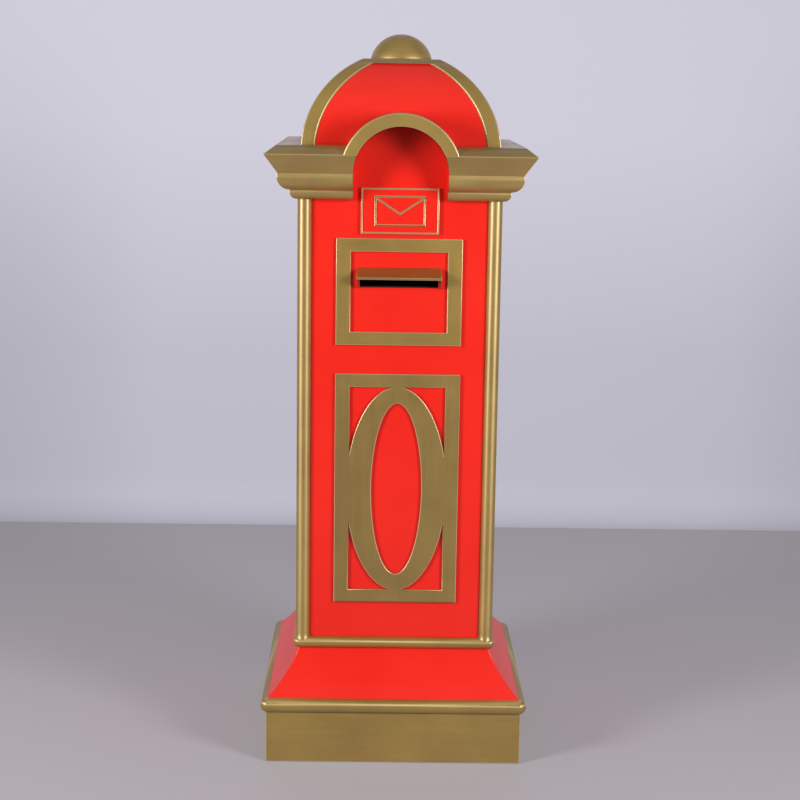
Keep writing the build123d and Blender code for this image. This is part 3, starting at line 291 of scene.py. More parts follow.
def assemble(name, body, made, stands_for, sheets, faces=(), wall=0.0):
    """One piece from sheets (grids of points, each cell a quad) and faces (points, and each face's corners).

    Edges that meet are merged, normals are turned outwards, and the map "run" holds distances in metres:
    u along a sheet's columns and v along its rows. Faces get the two level or upright distances they lie in.
    The attribute "arris" is 1 on slanting faces narrower than ARRIS, which make up the rounded edges. An open
    sheet gets a wall, thickened inwards; its rim counts as sharp, so that the sheet's shading ignores it.
    """
    points, corners, run, count = [], [], [], 0
    for sheet in sheets:
        rows, columns = sheet.shape[:2]
        u = np.r_[0, np.linalg.norm(np.diff(sheet, axis=1), axis=2).mean(0).cumsum()]
        v = np.r_[0, np.linalg.norm(np.diff(sheet, axis=0), axis=2).mean(1).cumsum()]
        points.append(sheet.reshape(-1, 3))
        run.append(np.stack(np.meshgrid(u, v), -1).reshape(-1, 2))
        corners += quads(rows, columns, count)
        count += rows * columns
    for ring, polygons in faces:
        thin = np.ptp(ring, axis=0).argmin()
        points.append(ring)
        run.append(np.delete(ring, thin, 1)[:, ::-1])
        corners += [[count + corner for corner in polygon] for polygon in polygons]
        count += len(ring)
    mesh = bpy.data.meshes.new(name)
    mesh.from_pydata(np.concatenate(points).tolist(), [], corners)
    layer = mesh.uv_layers.new(name="run")
    loops = np.zeros(len(mesh.loops), int)
    mesh.loops.foreach_get("vertex_index", loops)
    layer.data.foreach_set("uv", np.concatenate(run)[loops].ravel())
    work = bmesh.new()
    work.from_mesh(mesh)
    bmesh.ops.remove_doubles(work, verts=work.verts, dist=WELD)
    bmesh.ops.dissolve_degenerate(work, edges=work.edges, dist=SLIVER)
    bmesh.ops.recalc_face_normals(work, faces=work.faces)
    thin = [face.calc_area() < ARRIS * max(edge.calc_length() for edge in face.edges)
            and max(abs(part) for part in face.normal) < SQUARE_ON for face in work.faces]
    work.to_mesh(mesh)
    work.free()
    mesh.attributes.new("arris", "FLOAT", "FACE").data.foreach_set("value", np.array(thin, float))
    mesh.shade_smooth()
    mesh.set_sharp_from_angle(angle=CREASE)
    if wall:
        used = np.zeros(len(mesh.loops), int)
        mesh.loops.foreach_get("edge_index", used)
        for edge in np.flatnonzero(np.bincount(used, minlength=len(mesh.edges)) == 1):
            mesh.edges[int(edge)].use_edge_sharp = True
    mesh.materials.append(made)
    piece = bpy.data.objects.new(name, mesh)
    bpy.context.scene.collection.objects.link(piece)
    if wall:
        shell = piece.modifiers.new("wall", "SOLIDIFY")
        shell.thickness, shell.offset, shell.use_even_offset = wall, -1, True
    piece.modifiers.new("flats_stay_flat", "WEIGHTED_NORMAL").keep_sharp = True
    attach(piece, body)
    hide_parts(*stands_for)


SIDES = ("front", "right", "rear", "left")
BARE = bare_board("bare_board")
coat(pad_rubber("pad_rubber"), "foot_pads")
coat(BARE, "base_board", "plinth_deck")

PLINTH_WALL = 0.015
PLINTH_FOOT_EASE, PLINTH_TOP_EASE, PLINTH_CORNER_EASE = 0.0012, 0.0006, 0.0016
low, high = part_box("plinth_front")
plinth_out, plinth_in = -low.y, -low.y - PLINTH_WALL
plinth_outline = eased([(plinth_in, low.z), (plinth_out, low.z), (plinth_out, high.z), (plinth_in, high.z)],
                       [0, PLINTH_FOOT_EASE, PLINTH_TOP_EASE, 0])
PLINTH_GOLD = gold_paint("plinth_gold", warm_foot=0.06)
for side, name in enumerate(SIDES):
    sheets = [turned(sheet, side) for sheet in boarded(plinth_outline, PLINTH_CORNER_EASE)]
    assemble("plinth_board_" + name, "housing", PLINTH_GOLD, ["plinth_" + name], sheets)

# ---------------------------------------------------------------- plinth nosing
# Half-round moulding along the edge of the plinth deck, its corners worn round like a ball.
# Solid wood, painted gold like the boards below it.
# The moulding gold has a little brown mixed in: painted shade.
MOULDING_GOLD = gold_paint("moulding_gold", 0.46, 0.00003, (0.84, LEVEL), painted_shade=0.10)
UPRIGHT_GOLD = gold_paint("upright_gold", 0.47, 0.00003, (0.40, UPRIGHT))


def half_round(node, back):
    """Closed section of a half-round moulding with a flat back to a half width, and the ease of its corners.

    The bow is (core + r cos a, low + r + r sin a). Each point is eased by what it stands out over the core,
    which turns the corner of the square like a ball.
    """
    low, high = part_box(node)
    radius = (high.z - low.z) / 2
    core = high.x - radius
    bow = arc(core, low.z + radius, radius, np.linspace(-math.pi / 2, math.pi / 2, 25))
    outline = np.concatenate([[(back, low.z)], bow, [(back, high.z), (back, low.z)]])
    return outline, np.maximum(outline[:, :1] - core, 0)


NOSING_LAP = 0.005
low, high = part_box("plinth_nosing")
nosing_core = high.x - (high.z - low.z) / 2
nosing = square_ring(*half_round("plinth_nosing", nosing_core - NOSING_LAP))
assemble("nosing", "housing", MOULDING_GOLD, ["plinth_nosing"], [nosing])


# ---------------------------------------------------------------- flared base
# Hollow skirt from the nosing up to the column, its four hollow-curved sides mitred at the hips.
# Thin board bent over formers and sprayed with glossy red lacquer.
def red_lacquer(name, shaded_above=None):
    """Glossy red: faint clouds in the colour, a fine orange peel on the surface and dust in the roughness.

    Above the given height the colour sinks to dark maroon: painted shade in the crown of the niche.
    """
    def build(signal):
        place = signal.spot()
        cloud = place.grain(3.5, 3.0, 0.55)
        peel = place.grain(260.0)
        roller = place.grain((55.0, 55.0, 12.0))
        dust = place.grain(1400.0, 0.0)
        shade = cloud.between(0.3, 0.7).mix((0.75, 0.013, 0.0055, 1), (0.83, 0.019, 0.0085, 1))
        # Painted shade: above the given height the red turns dark maroon.
        if shaded_above:
            shade = place.upwards().between(shaded_above, shaded_above + 0.06).mix(shade, (0.16, 0.003, 0.001, 1))
        rough = 0.33 + (cloud - 0.5) * 0.1 + dust.between(0.72, 0.8) * 0.2
        height = peel * 0.6 + roller * 0.4
        return {"Base Color": shade, "Roughness": rough, "Normal": bumped(signal, height, 0.00006)}
    return finish(name, build, Specular_IOR_Level=0.40, Coat_Weight=0.1, Coat_Roughness=0.2)


def hollow_curve(foot, top, sag, low, high, steps=33):
    """Arc from (foot, low) to (top, high), through the point that lies sag inside the middle of its chord.

    Its points are (cx + r cos a, cz + r sin a); the centre is as far from the ends as from that point.
    """
    start, end = np.array([(foot, low), (top, high)])
    middle = (start + end) / 2 - (sag, 0)
    matrix = 2 * np.array([end - start, middle - start])
    squares = np.array([(end**2).sum(), (middle**2).sum()]) - (start**2).sum()
    centre = np.linalg.solve(matrix, squares)
    first, last = (math.atan2(*(point - centre)[::-1]) for point in (start, end))
    radius = np.linalg.norm(start - centre)
    swing = (last - first + math.pi) % (2 * math.pi) - math.pi
    return arc(*centre, radius, first + swing * np.linspace(0, 1, steps))


RED = red_lacquer("red_lacquer")
FLARE_WALL = 0.006
FLARE_SAG = 0.0085
FLARE_HIP_EASE = 0.0030
low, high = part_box("flared_base")
flare_top = FLARE_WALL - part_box("front_panel")[0].y
flare = square_ring(hollow_curve(high.x, flare_top, FLARE_SAG, low.z, high.z), FLARE_HIP_EASE)
assemble("flared_skirt", "housing", RED, ["flared_base"], [flare], wall=FLARE_WALL)

# ---------------------------------------------------------------- astragal
# Half-round bead that covers the joint between the skirt and the column's panels. Its corners are worn
# round like those of the nosing.
astragal = square_ring(*half_round("lower_astragal", -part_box("front_panel")[1].y))
assemble("astragal", "housing", MOULDING_GOLD, ["lower_astragal"], [astragal])


# ---------------------------------------------------------------- column panels
# Four red boards between the corner columns; posts stand inside the corners. The front board has the
# letter slot and an arched top that backs the niche, and the rear one has the opening for the door.
def rounded_rectangle(half, low, high, radius, steps=4):
    """Closed outline of a rectangle with quarter-circle corners, counter-clockwise in x and z.

    Each corner is its centre + (r cos a, r sin a), over steps points.
    """
    angle = np.linspace(0, math.pi / 2, steps)[None] + np.arange(4)[:, None] * math.pi / 2
    centre = np.array([(half - radius, high - radius), (radius - half, high - radius),
                       (radius - half, low + radius), (half - radius, low + radius)])
    ring = centre[:, None] + radius * np.stack([np.cos(angle), np.sin(angle)], -1)
    return ring.reshape(-1, 2)


SHARPEST = 0.4


def inward(loop):
    """Step from each corner of a loop to its left: (n + m) / (1 + n.m), where n and m are its edges' normals.

    The divisor stays at SHARPEST or over, so that very pointed corners don't shoot out.
    """
    edge = np.roll(loop, -1, 0) - loop
    edge = edge / np.linalg.norm(edge, axis=1, keepdims=True)
    normal = np.stack([-edge[:, 1], edge[:, 0]], 1)
    before = np.roll(normal, 1, 0)
    stretch = 1 / np.maximum(1 + (normal * before).sum(1, keepdims=True), SHARPEST)
    return (normal + before) * stretch


def flat_board(loops, back, front, ease, back_ease=0.0, quarters=0):
    """Sheets and faces of a board cut to an outline, with openings; loops are in x and z, outline first.

    Each loop carries the edge's section: up the wall, then round the arris on a quarter circle, where the
    loop has stepped ease (1 - cos t) into the board at depth front - ease (1 - sin t).
    """
    t = np.linspace(0, math.pi / 2, 5)
    steps = np.concatenate([back_ease * (1 - np.cos(t[::-1])), ease * (1 - np.cos(t))])
    depth = np.concatenate([back + back_ease * (1 - np.sin(t[::-1])), front - ease * (1 - np.sin(t))])
    sheets = []
    for number, loop in enumerate(loops):
        following = np.roll(loop, -1, 0)
        area = (loop[:, 0] * following[:, 1] - following[:, 0] * loop[:, 1]).sum()
        if (area > 0) == (number > 0):
            loop = loop[::-1]
        rows = loop + steps[:, None, None] * inward(loop)
        rows = np.concatenate([rows, rows[:, :1]], 1)
        level = np.broadcast_to(-depth[:, None], rows.shape[:2])
        sheets.append(np.stack([rows[..., 0], level, rows[..., 1]], -1))
    faces = []
    for end in (0, -1):
        rings = [sheet[end, :-1] for sheet in sheets]
        corners = tessellate_polygon([[Vector((x, z, 0)) for x, _, z in ring] for ring in rings])
        faces.append((turned(np.concatenate(rings), quarters), [list(corner) for corner in corners]))
    return [turned(sheet, quarters) for sheet in sheets], faces


coat(BARE, *(f"corner_post_{end}_{side}" for end in ("front", "rear") for side in ("left", "right")))

PANEL_EASE, PANEL_CORNER = 0.0008, 0.0004
TONGUE_R = 0.1084
HOOD_BELOW_SLOT = 0.003
SLOT_HALF, SLOT_H, SLOT_CORNER = 0.080, 0.024, 0.0012
low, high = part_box("front_panel")
panel_half, panel_low, panel_face, panel_back = high.x, low.z, -low.y, -high.y
panel_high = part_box("left_panel")[1].z
arch_z = high.z - TONGUE_R
foot_angle = math.asin((panel_high - arch_z) / TONGUE_R)
tongue = arc(0, arch_z, TONGUE_R, np.linspace(foot_angle, math.pi - foot_angle, 49))
front_outline = np.concatenate([
    [(-panel_half, panel_low), (panel_half, panel_low), (panel_half, panel_high)],
    tongue, [(-panel_half, panel_high)],
])
slot_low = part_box("slot_hood")[0].z + HOOD_BELOW_SLOT
slot_opening = rounded_rectangle(SLOT_HALF, slot_low, slot_low + SLOT_H, SLOT_CORNER)
sheets, faces = flat_board([front_outline, slot_opening], panel_back, panel_face, PANEL_EASE)
assemble("front_board", "housing", RED, ["front_panel"], sheets, faces)
plain = rounded_rectangle(panel_half, panel_low, panel_high, PANEL_CORNER)
for name, side in (("right", 1), ("left", 3)):
    sheets, faces = flat_board([plain], panel_back, panel_face, PANEL_EASE, quarters=side)
    assemble(name + "_board", "housing", RED, [name + "_panel"], sheets, faces)

# ---------------------------------------------------------------- corner columns
# Turned three-quarter rounds, notched over the posts, each swelling into a small cove where it stands
# on the astragal. Brushed gold from end to end.
COLUMN_R, NOTCH_FIT = 0.0145, 0.0002
FOOT_SWELL, FOOT_HEIGHT, FOOT_HOLLOW, FOOT_SUNK = 0.0037, 0.0125, 2.2, 0.0015
column_low, column_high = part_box("corner_column_front_left")
column_centre = panel_half + COLUMN_R + NOTCH_FIT
column_foot = column_low.z - FOOT_SUNK
rise = np.concatenate([np.linspace(0, 1, 13) * FOOT_HEIGHT, [column_high.z - column_foot]])
radius = COLUMN_R + FOOT_SWELL * np.maximum(1 - rise / FOOT_HEIGHT, 0) ** FOOT_HOLLOW
notch = panel_back + NOTCH_FIT
gap = math.acos((column_centre - notch) / COLUMN_R)
ring = arc(0, 0, 1, np.linspace(gap - math.pi, 1.5 * math.pi - gap, 65))
level = np.broadcast_to((column_foot + rise)[:, None], (len(rise), len(ring)))
shaft = np.concatenate([column_centre + radius[:, None, None] * ring, level[..., None]], -1)
notch_line = np.stack([np.full(len(rise), notch)] * 2 + [column_foot + rise], -1)[:, None]
shaft = np.concatenate([notch_line, shaft, notch_line], 1).transpose(1, 0, 2)
for quarter, name in enumerate(("rear_right", "rear_left", "front_left", "front_right")):
    sheet = turned(shaft, quarter)
    assemble("column_" + name, "housing", UPRIGHT_GOLD, ["corner_column_" + name],
             [sheet], capped(sheet))


# ---------------------------------------------------------------- flat trim
# Two frames cut from thin board and glued on the front: a plain one round the slot, and a tall one whose
# oval band runs into its bars. Gold paint brushed along the bars catches the light on the eased arrises.
TRIM_EASE, TRIM_CORNER = 0.0016, 0.0008
SIDE_BAR, LEVEL_BAR = 0.0297, 0.0272
TRIM_GOLD = gold_paint("trim_gold", 0.44, 0.00018)
low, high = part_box("slot_frame")
rim = rounded_rectangle(high.x, low.z, high.z, 0.0, steps=1)
opening = rounded_rectangle(high.x - SIDE_BAR, low.z + LEVEL_BAR, high.z - LEVEL_BAR, 0.0, steps=1)


def banded(loops, back, front, ease):
    """Sheets of a frame of even bars: its front and back run straight across from rim to opening, mitred."""
    sheets, _ = flat_board(loops, back, front, ease)
    rim, opening = sheets
    for end in (0, -1):
        inside = opening[end, -2::-1]
        sheets.append(np.stack([rim[end], np.concatenate([inside, inside[:1]])]))
    return sheets


sheets = banded([rim, opening], panel_face, -low.y, TRIM_EASE)
assemble("slot_trim", "housing", TRIM_GOLD, ["slot_frame"], sheets)

OVAL_LEVEL_BAR = 0.0277
OVAL_LAP_X, OVAL_LAP_Z = 0.0056, 0.0011
BAND_X, BAND_Z = 0.052, 0.0351
low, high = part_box("oval_frame")
inner_x, inner_z = high.x - SIDE_BAR, (high.z - low.z) / 2 - OVAL_LEVEL_BAR
oval_x, oval_z, oval_middle = inner_x + OVAL_LAP_X, inner_z + OVAL_LAP_Z, (low.z + high.z) / 2


def oval(half_x, half_z, first, last, steps):
    """Points (half_x cos a, half_z sin a) of an ellipse from the first angle to the last."""
    angle = np.linspace(first, last, steps)
    return np.stack([half_x * np.cos(angle), half_z * np.sin(angle)], 1)


curve = oval(oval_x, oval_z, math.asin(inner_z / oval_z), math.acos(inner_x / oval_x), 41)
spandrel = np.concatenate([curve, [(inner_x, inner_z)]])
loops = [rounded_rectangle(high.x, low.z, high.z, TRIM_CORNER)]
loops += [spandrel * (x, z) + (0, oval_middle) for x in (1, -1) for z in (1, -1)]
loops += [oval(oval_x - BAND_X, oval_z - BAND_Z, 0, 2 * math.pi, 129)[:-1] + (0, oval_middle)]
sheets, faces = flat_board(loops, panel_face, -low.y, TRIM_EASE)
# The oval's gold has more brown mixed in: painted shade, darker than the slot's frame.
OVAL_GOLD = gold_paint("oval_gold", 0.46, 0.00018, painted_shade=0.24)
assemble("oval_trim", "housing", OVAL_GOLD, ["oval_frame"], sheets, faces)

# ---------------------------------------------------------------- name board
# Red board under the arch with a thin gold border; a plain envelope stands in relief in place of words.
# Border and envelope are cut strips, glued on and gilded.
PLAQUE_EASE, STRIP_EASE = 0.0006, 0.0017
low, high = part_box("plaque_board")
plaque_half, plaque_low, plaque_high, plaque_face = high.x, low.z, high.z, -low.y
board = rounded_rectangle(plaque_half, plaque_low, plaque_high, PLAQUE_EASE)
sheets, faces = flat_board([board], panel_face, plaque_face, PLAQUE_EASE)
assemble("name_board", "housing", RED, ["plaque_board"], sheets, faces)

BORDER = 0.004
relief = -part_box("plaque_border")[0].y
inner = rounded_rectangle(plaque_half - BORDER, plaque_low + BORDER, plaque_high - BORDER, 0.0, steps=1)
rim = rounded_rectangle(plaque_half, plaque_low, plaque_high, 0.0, steps=1)
sheets = banded([rim, inner], plaque_face, relief, STRIP_EASE)
assemble("name_border", "housing", TRIM_GOLD, ["plaque_border"], sheets)

STROKE = 0.0045
FLAP = 0.034
low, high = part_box("envelope_emblem")
half = high.x
inside, flap_half = half - STROKE, half * (1 - STROKE / FLAP)
flap_under = high.z - STROKE * math.hypot(1, FLAP / half)
flap_side = flap_under - FLAP * STROKE / half
under_flap = np.array([(-inside, low.z + STROKE), (inside, low.z + STROKE), (inside, flap_side),
                       (0, flap_under - FLAP), (-inside, flap_side)])
above_flap = np.array([(-flap_half, high.z - STROKE), (0, high.z - FLAP), (flap_half, high.z - STROKE)])
rim = rounded_rectangle(half, low.z, high.z, PLAQUE_EASE)
sheets, faces = flat_board([rim, under_flap, above_flap], plaque_face, relief, STRIP_EASE)
assemble("envelope", "housing", TRIM_GOLD, ["envelope_emblem"], sheets, faces)


# ---------------------------------------------------------------- letter slot hood and chute
# The hood is one folded sheet, soft at its folds, with a turned-down lip, screwed from inside the panel.
# Behind the slot a black tray slopes down into the letter compartment.
def black_sheet(name):
    """Black powder coat: low gloss with a fine even pebble."""
    def build(signal):
        pebble = signal.spot().grain(1100.0, 1.0)
        shade = pebble.between(0.3, 0.8).mix((0.010, 0.010, 0.010, 1), (0.022, 0.021, 0.021, 1))
        return {"Base Color": shade, "Roughness": 0.42 + pebble * 0.2,
                "Normal": bumped(signal, pebble, 0.00006)}
    return finish(name, build)


# The tray's near-black coat is partly painted shade: it keeps the slot as dark as the unlit inside of the
# box.
coat(black_sheet("black_sheet"), "letter_chute")
HOOD_SHEET, HOOD_BEND = 0.0025, 0.004
LIP_H, LIP_DEPTH, LIP_LAP, LIP_OVER_SLOT = 0.0045, 0.003, 0.001, 0.020
LIP_BACK_EASE, LIP_FOOT_EASE, LIP_TOP_EASE = 0.0005, 0.001, 0.0012
low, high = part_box("slot_hood")
hood_half, hood_front, hood_low, hood_top = high.x, -low.y, low.z, high.z
lip_low = slot_low + LIP_OVER_SLOT
lip_top, lip_back = lip_low + LIP_H, hood_front - LIP_DEPTH
depth = np.linspace(panel_face, hood_front - LIP_LAP, 9)
slope = (depth - panel_face) / (hood_front - panel_face)
top = hood_top + (lip_top - hood_top) * slope
bottom = hood_low + (lip_low - hood_low) * slope


def folded(inset):
    """Outline of the hood at each depth, inset from its outside: up one cheek, round the bend, over the top.

    On the bend the point is (half - inset - bend + bend cos t, top - inset - bend + bend sin t).
    """
    bend = HOOD_BEND - inset
    t = np.linspace(0, math.pi / 2, 7)
    x = np.concatenate([[hood_half - inset], hood_half - inset - bend + bend * np.cos(t)])
    z = np.stack([bottom, *(top - inset - bend + bend * np.sin(step) for step in t)])
    y = np.broadcast_to(-depth, z.shape)
    right = np.stack([np.broadcast_to(x[:, None], z.shape), y, z], -1)
    return np.concatenate([right, right[::-1] * (-1, 1, 1)])


outer, inner = folded(0.0), folded(HOOD_SHEET)
ring = np.concatenate([outer, inner[::-1], outer[:1]])
lip_section = eased([(lip_back, lip_low), (hood_front, lip_low), (hood_front, lip_top), (lip_back, lip_top)],
                    [LIP_BACK_EASE, LIP_FOOT_EASE, LIP_TOP_EASE, LIP_BACK_EASE])
lip = np.stack([np.stack([np.full(len(lip_section), x), -lip_section[:, 0], lip_section[:, 1]], -1)
                for x in (-hood_half, hood_half)], 1)
lip = np.concatenate([lip, lip[:1]])
# The hood's sheet gold has much brown mixed in: painted shade.
assemble("slot_visor", "housing", gold_paint("sheet_gold", painted_shade=0.45), ["slot_hood"],
         [ring, lip], capped(ring) + capped(lip))

# ---------------------------------------------------------------- cornice
# Heavy moulding in five lengths: a quarter-round bead, an ovolo, a leaning fascia and a sloping top.
# Mitred at the corners, and cut away at the front for the arch of the niche.
def rounded(before, corner, after, ease):
    """The five points that round one corner of a section."""
    return eased([before, corner, after], [0, ease, 0])[5:10]


BEAD_OUT, BEAD_R, BEAD_OVER, BEAD_EASE = 0.027, 0.0145, math.radians(18), 0.0008
QUIRK_IN = 0.0035
OVOLO_OUT, OVOLO_H, OVOLO_SWELL, OVOLO_FLAT, OVOLO_EASE = 0.051, 0.030, 0.0113, 0.004, 0.0009
FASCIA_IN = 0.0012
TIP_RISE, TIP_EASE = 0.091, 0.0012
TOP_OUT = 0.0532
low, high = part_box("cornice_right")
cornice_low, cornice_h, cornice_in, cornice_tip = low.z, high.z - low.z, low.x, high.x
tip_z = cornice_low + TIP_RISE
bead = arc(BEAD_OUT - BEAD_R, BEAD_R, BEAD_R, np.linspace(-math.pi / 2, BEAD_OVER, 15))
ovolo_low = bead[-1, 1]
quirk = (BEAD_OUT - QUIRK_IN, ovolo_low)
bead_corner = rounded(bead[-2], bead[-1], quirk, BEAD_EASE)
ovolo = hollow_curve(quirk[0], OVOLO_OUT, -OVOLO_SWELL, ovolo_low, ovolo_low + OVOLO_H, 21)
ovolo_top = ovolo[-1, 1]
fascia_foot = (OVOLO_OUT - FASCIA_IN, ovolo_top + OVOLO_FLAT)
lip_corner = rounded((OVOLO_OUT, ovolo_top), (OVOLO_OUT, ovolo_top + OVOLO_FLAT), fascia_foot, OVOLO_EASE)
tip_corner = rounded(fascia_foot, (cornice_tip - cornice_in, TIP_RISE), (TOP_OUT, cornice_h), TIP_EASE)
fascia = np.linspace(fascia_foot, tip_corner[0], 12)[:-1]
section = np.concatenate([[(0, 0)], bead[:-1], bead_corner, ovolo, lip_corner, fascia, tip_corner,
                          [(TOP_OUT, cornice_h), (0, cornice_h)]])
cornice_outline = section + (cornice_in, cornice_low)

ARCH_R, ARCH_BAND = 0.0954, 0.0258
arch_edge = ARCH_R + ARCH_BAND


def opening_at(z, radius):
    """Half width of the arched opening at height z: r up to its centre, sqrt(r^2 - (z - centre)^2) above."""
    return np.sqrt(np.maximum(radius**2 - np.maximum(z - arch_z, 0) ** 2, 0))


CORNICE_EASE = 0.0012
# The cornice's gold has brown mixed in: painted shade, darker than the other mouldings.
CORNICE_GOLD = gold_paint("cornice_gold", 0.40, 0.00003, (0.60, LEVEL), painted_shade=0.19)
for name, side in (("right", 1), ("rear", 2), ("left", 3)):
    sheets = [turned(sheet, side) for sheet in boarded(cornice_outline, CORNICE_EASE)]
    assemble("cornice_length_" + name, "housing", CORNICE_GOLD, ["cornice_" + name], sheets)
below = cornice_outline[cornice_outline[:, 1] <= tip_z]
above = cornice_outline[cornice_outline[:, 1] > tip_z]
step = np.array([(np.interp(tip_z, [below[-1, 1], above[0, 1]], [below[-1, 0], above[0, 0]]), tip_z)])
front_cut = np.concatenate([below, step, step, above])
cut_x = np.concatenate([opening_at(below[:, 1], ARCH_R), opening_at(step[:, 1], ARCH_R),
                        opening_at(step[:, 1], arch_edge), opening_at(above[:, 1], arch_edge)])
for name, mirror in (("right", 1), ("left", -1)):
    sheets = [sheet * (mirror, 1, 1) for sheet in boarded(front_cut, CORNICE_EASE, cut_x)]
    assemble("cornice_length_front_" + name, "housing", CORNICE_GOLD,
             ["cornice_front_" + name], sheets)
coat(BARE, "cornice_deck")

# ---------------------------------------------------------------- arched niche
# A gold arch stands on the two front lengths of the cornice, flush with their tip, and runs back into
# the dome. Its soffit and the jambs below it are lined with thin red sheet.
ARCH_INNER_EASE, ARCH_OUTER_EASE = 0.0010, 0.0040
arch_back = -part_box("arch_hood")[1].y
corners = [(ARCH_R, arch_back), (ARCH_R, cornice_tip), (arch_edge, cornice_tip), (arch_edge, arch_back)]
section = eased(corners, [0, ARCH_INNER_EASE, ARCH_OUTER_EASE, 0], 9)
reach, out = section[:, :1], section[:, 1:]
first = np.arcsin((tip_z - arch_z) / reach)
angle = first + (math.pi - 2 * first) * np.linspace(0, 1, 97)
arch = np.stack(np.broadcast_arrays(reach * np.cos(angle), -out, arch_z + reach * np.sin(angle)), -1)
arch = np.concatenate([arch, arch[:1]])
ARCH_GOLD = gold_paint("arch_gold", 0.48, 0.0003)
assemble("niche_arch", "housing", ARCH_GOLD, ["arch_hood"], [arch], capped(arch))

LINING, LINING_FIT, LINING_SHY = 0.0010, 0.0002, 0.0003
JAMB_STEPS, CROWN_STEPS = 39, 61
low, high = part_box("niche_lining")
lining_r, lining_front = high.x, -low.y
jamb = np.linspace(cornice_low + LINING_FIT, arch_z, JAMB_STEPS + 1)[:-1]
jamb = np.concatenate([jamb, np.full(CROWN_STEPS, arch_z)])
swing = np.concatenate([np.zeros(JAMB_STEPS), np.linspace(0, math.pi / 2, CROWN_STEPS)])


def lining_line(radius):
    """The lining's front and rear edges, jamb to jamb: (r cos a, jamb + r sin a), with a = 0 up the jambs.

    Next to the cornice the front edge keeps just behind the mouldings.
    """
    x, z = radius * np.cos(swing), jamb + radius * np.sin(swing)
    mouldings = np.interp(z, cornice_outline[:, 1], cornice_outline[:, 0]) - LINING_SHY
    front = np.minimum(np.where(z < tip_z, mouldings, lining_front), lining_front)
    half = np.stack([np.stack([x, -edge, z], -1) for edge in (front, np.full(len(x), cornice_in))], 1)
    return np.concatenate([half, half[-2::-1] * (-1, 1, 1)])


outer, inner = lining_line(lining_r), lining_line(lining_r - LINING)
sheets = [outer, inner, *strips(outer, inner)]
sheets += [np.stack([outer[end], inner[end]], 1) for end in (0, -1)]
# The lining's red is painted dark maroon over the crown, above the arch's centre: painted shade in the niche.
LINING_RED_SHADED_CROWN = red_lacquer("lining_red_shaded_crown", arch_z)
assemble("niche_lining_sheet", "housing", LINING_RED_SHADED_CROWN, ["niche_lining"], sheets)

# ---------------------------------------------------------------- dome
# Four curved red faces meeting at hips, cut away over the arch; each follows a circle struck from just
# below the cornice ledge. Moulded shell, sprayed like the panels.
DOME_WALL, DOME_SINK, DOME_OUT, DOME_FIT = 0.006, 0.0132, 0.0028, 0.0002
HIP_EASE = 0.001
CROWDING = 1.5
dome_low, dome_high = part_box("dome_shell")
dome_centre = dome_low.z - DOME_SINK
dome_r = panel_face + DOME_OUT
edge_r = arch_edge + DOME_FIT
# The rows climb evenly round the arch, and over its crown they start close together.
arch_foot = math.asin((dome_low.z - arch_z) / edge_r)
arched = arch_z + edge_r * np.sin(np.linspace(arch_foot, math.pi / 2, 25))
upper = arched[-1] + (dome_high.z - arched[-1]) * np.linspace(0, 1, 28)[1:] ** CROWDING
dome_z = np.concatenate([arched, upper])
vault = np.stack([np.sqrt(dome_r**2 - (dome_z - dome_centre) ** 2), dome_z], 1)
right_half = mitred(vault, HIP_EASE, opening_at(dome_z, edge_r))
sheets = [right_half, right_half * (-1, 1, 1)] + [turned(mitred(vault, HIP_EASE), side) for side in (1, 2, 3)]
assemble("dome", "housing", RED, ["dome_shell"], sheets, wall=DOME_WALL)

# ---------------------------------------------------------------- dome ribs and cap
# A gold angle strip lies over each hip, bent to the dome and a little wider towards the top. A square gold
# cap with a thin skirt closes the top over their ends.
RIB, RIB_FIT, RIB_EASE = 0.003, 0.0002, 0.0011
RIB_FOOT_WIDTH, RIB_CAP_WIDTH = 0.0265, 0.0345
HIP_ROUND = 0.0022
RIB_GOLD = gold_paint("rib_gold", 0.48, 0.00010)
rib_low, rib_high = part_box("dome_rib_front_left")
side_section = eased([(1.0, RIB_FIT), (1.0, RIB), (0.0, RIB)], [0, RIB_EASE, 0])[4:10]
bend = np.linspace(0, math.pi / 4, 4)
hip = np.stack([HIP_ROUND * (1 - np.sin(bend)), HIP_ROUND * (1 - np.cos(bend)), np.full(4, RIB)], 1)
rib_z = np.linspace(rib_low.z, rib_high.z, 40)[:, None]
swell = np.sqrt((dome_r + RIB) ** 2 - (rib_z - dome_centre) ** 2)
width = np.interp(swell, [swell[-1, 0], swell[0, 0]], [RIB_CAP_WIDTH, RIB_FOOT_WIDTH])


def rib_lines(along, across, height):
    """Lines up a rib, each some way along one side of the hip, some way across the other and off the dome.

    At height z they lie at (h - along, across - h), where h = sqrt((r + height)^2 - (z - centre)^2).
    """
    half = np.sqrt((dome_r + height) ** 2 - (rib_z - dome_centre) ** 2)
    return np.stack(np.broadcast_arrays(half - along, across - half, rib_z), -1)


side_lines = rib_lines(width - 1 + side_section[:, 0], 0, side_section[:, 1])
hip_lines = rib_lines(hip[:, 0], hip[:, 1], hip[:, 2])
outside = np.concatenate([side_lines, hip_lines], 1)
other_side = outside[:, -2::-1, [1, 0, 2]] * (-1, -1, 1)
under = rib_lines(0, 0, np.array([RIB_FIT]))
rib = np.concatenate([outside, other_side, under, outside[:, :1]], 1).transpose(1, 0, 2)
for quarter, name in enumerate(("front_right", "rear_right", "rear_left", "front_left")):
    strip = turned(rib, quarter)
    assemble("rib_" + name, "housing", RIB_GOLD, ["dome_rib_" + name],
             [strip], capped(strip))

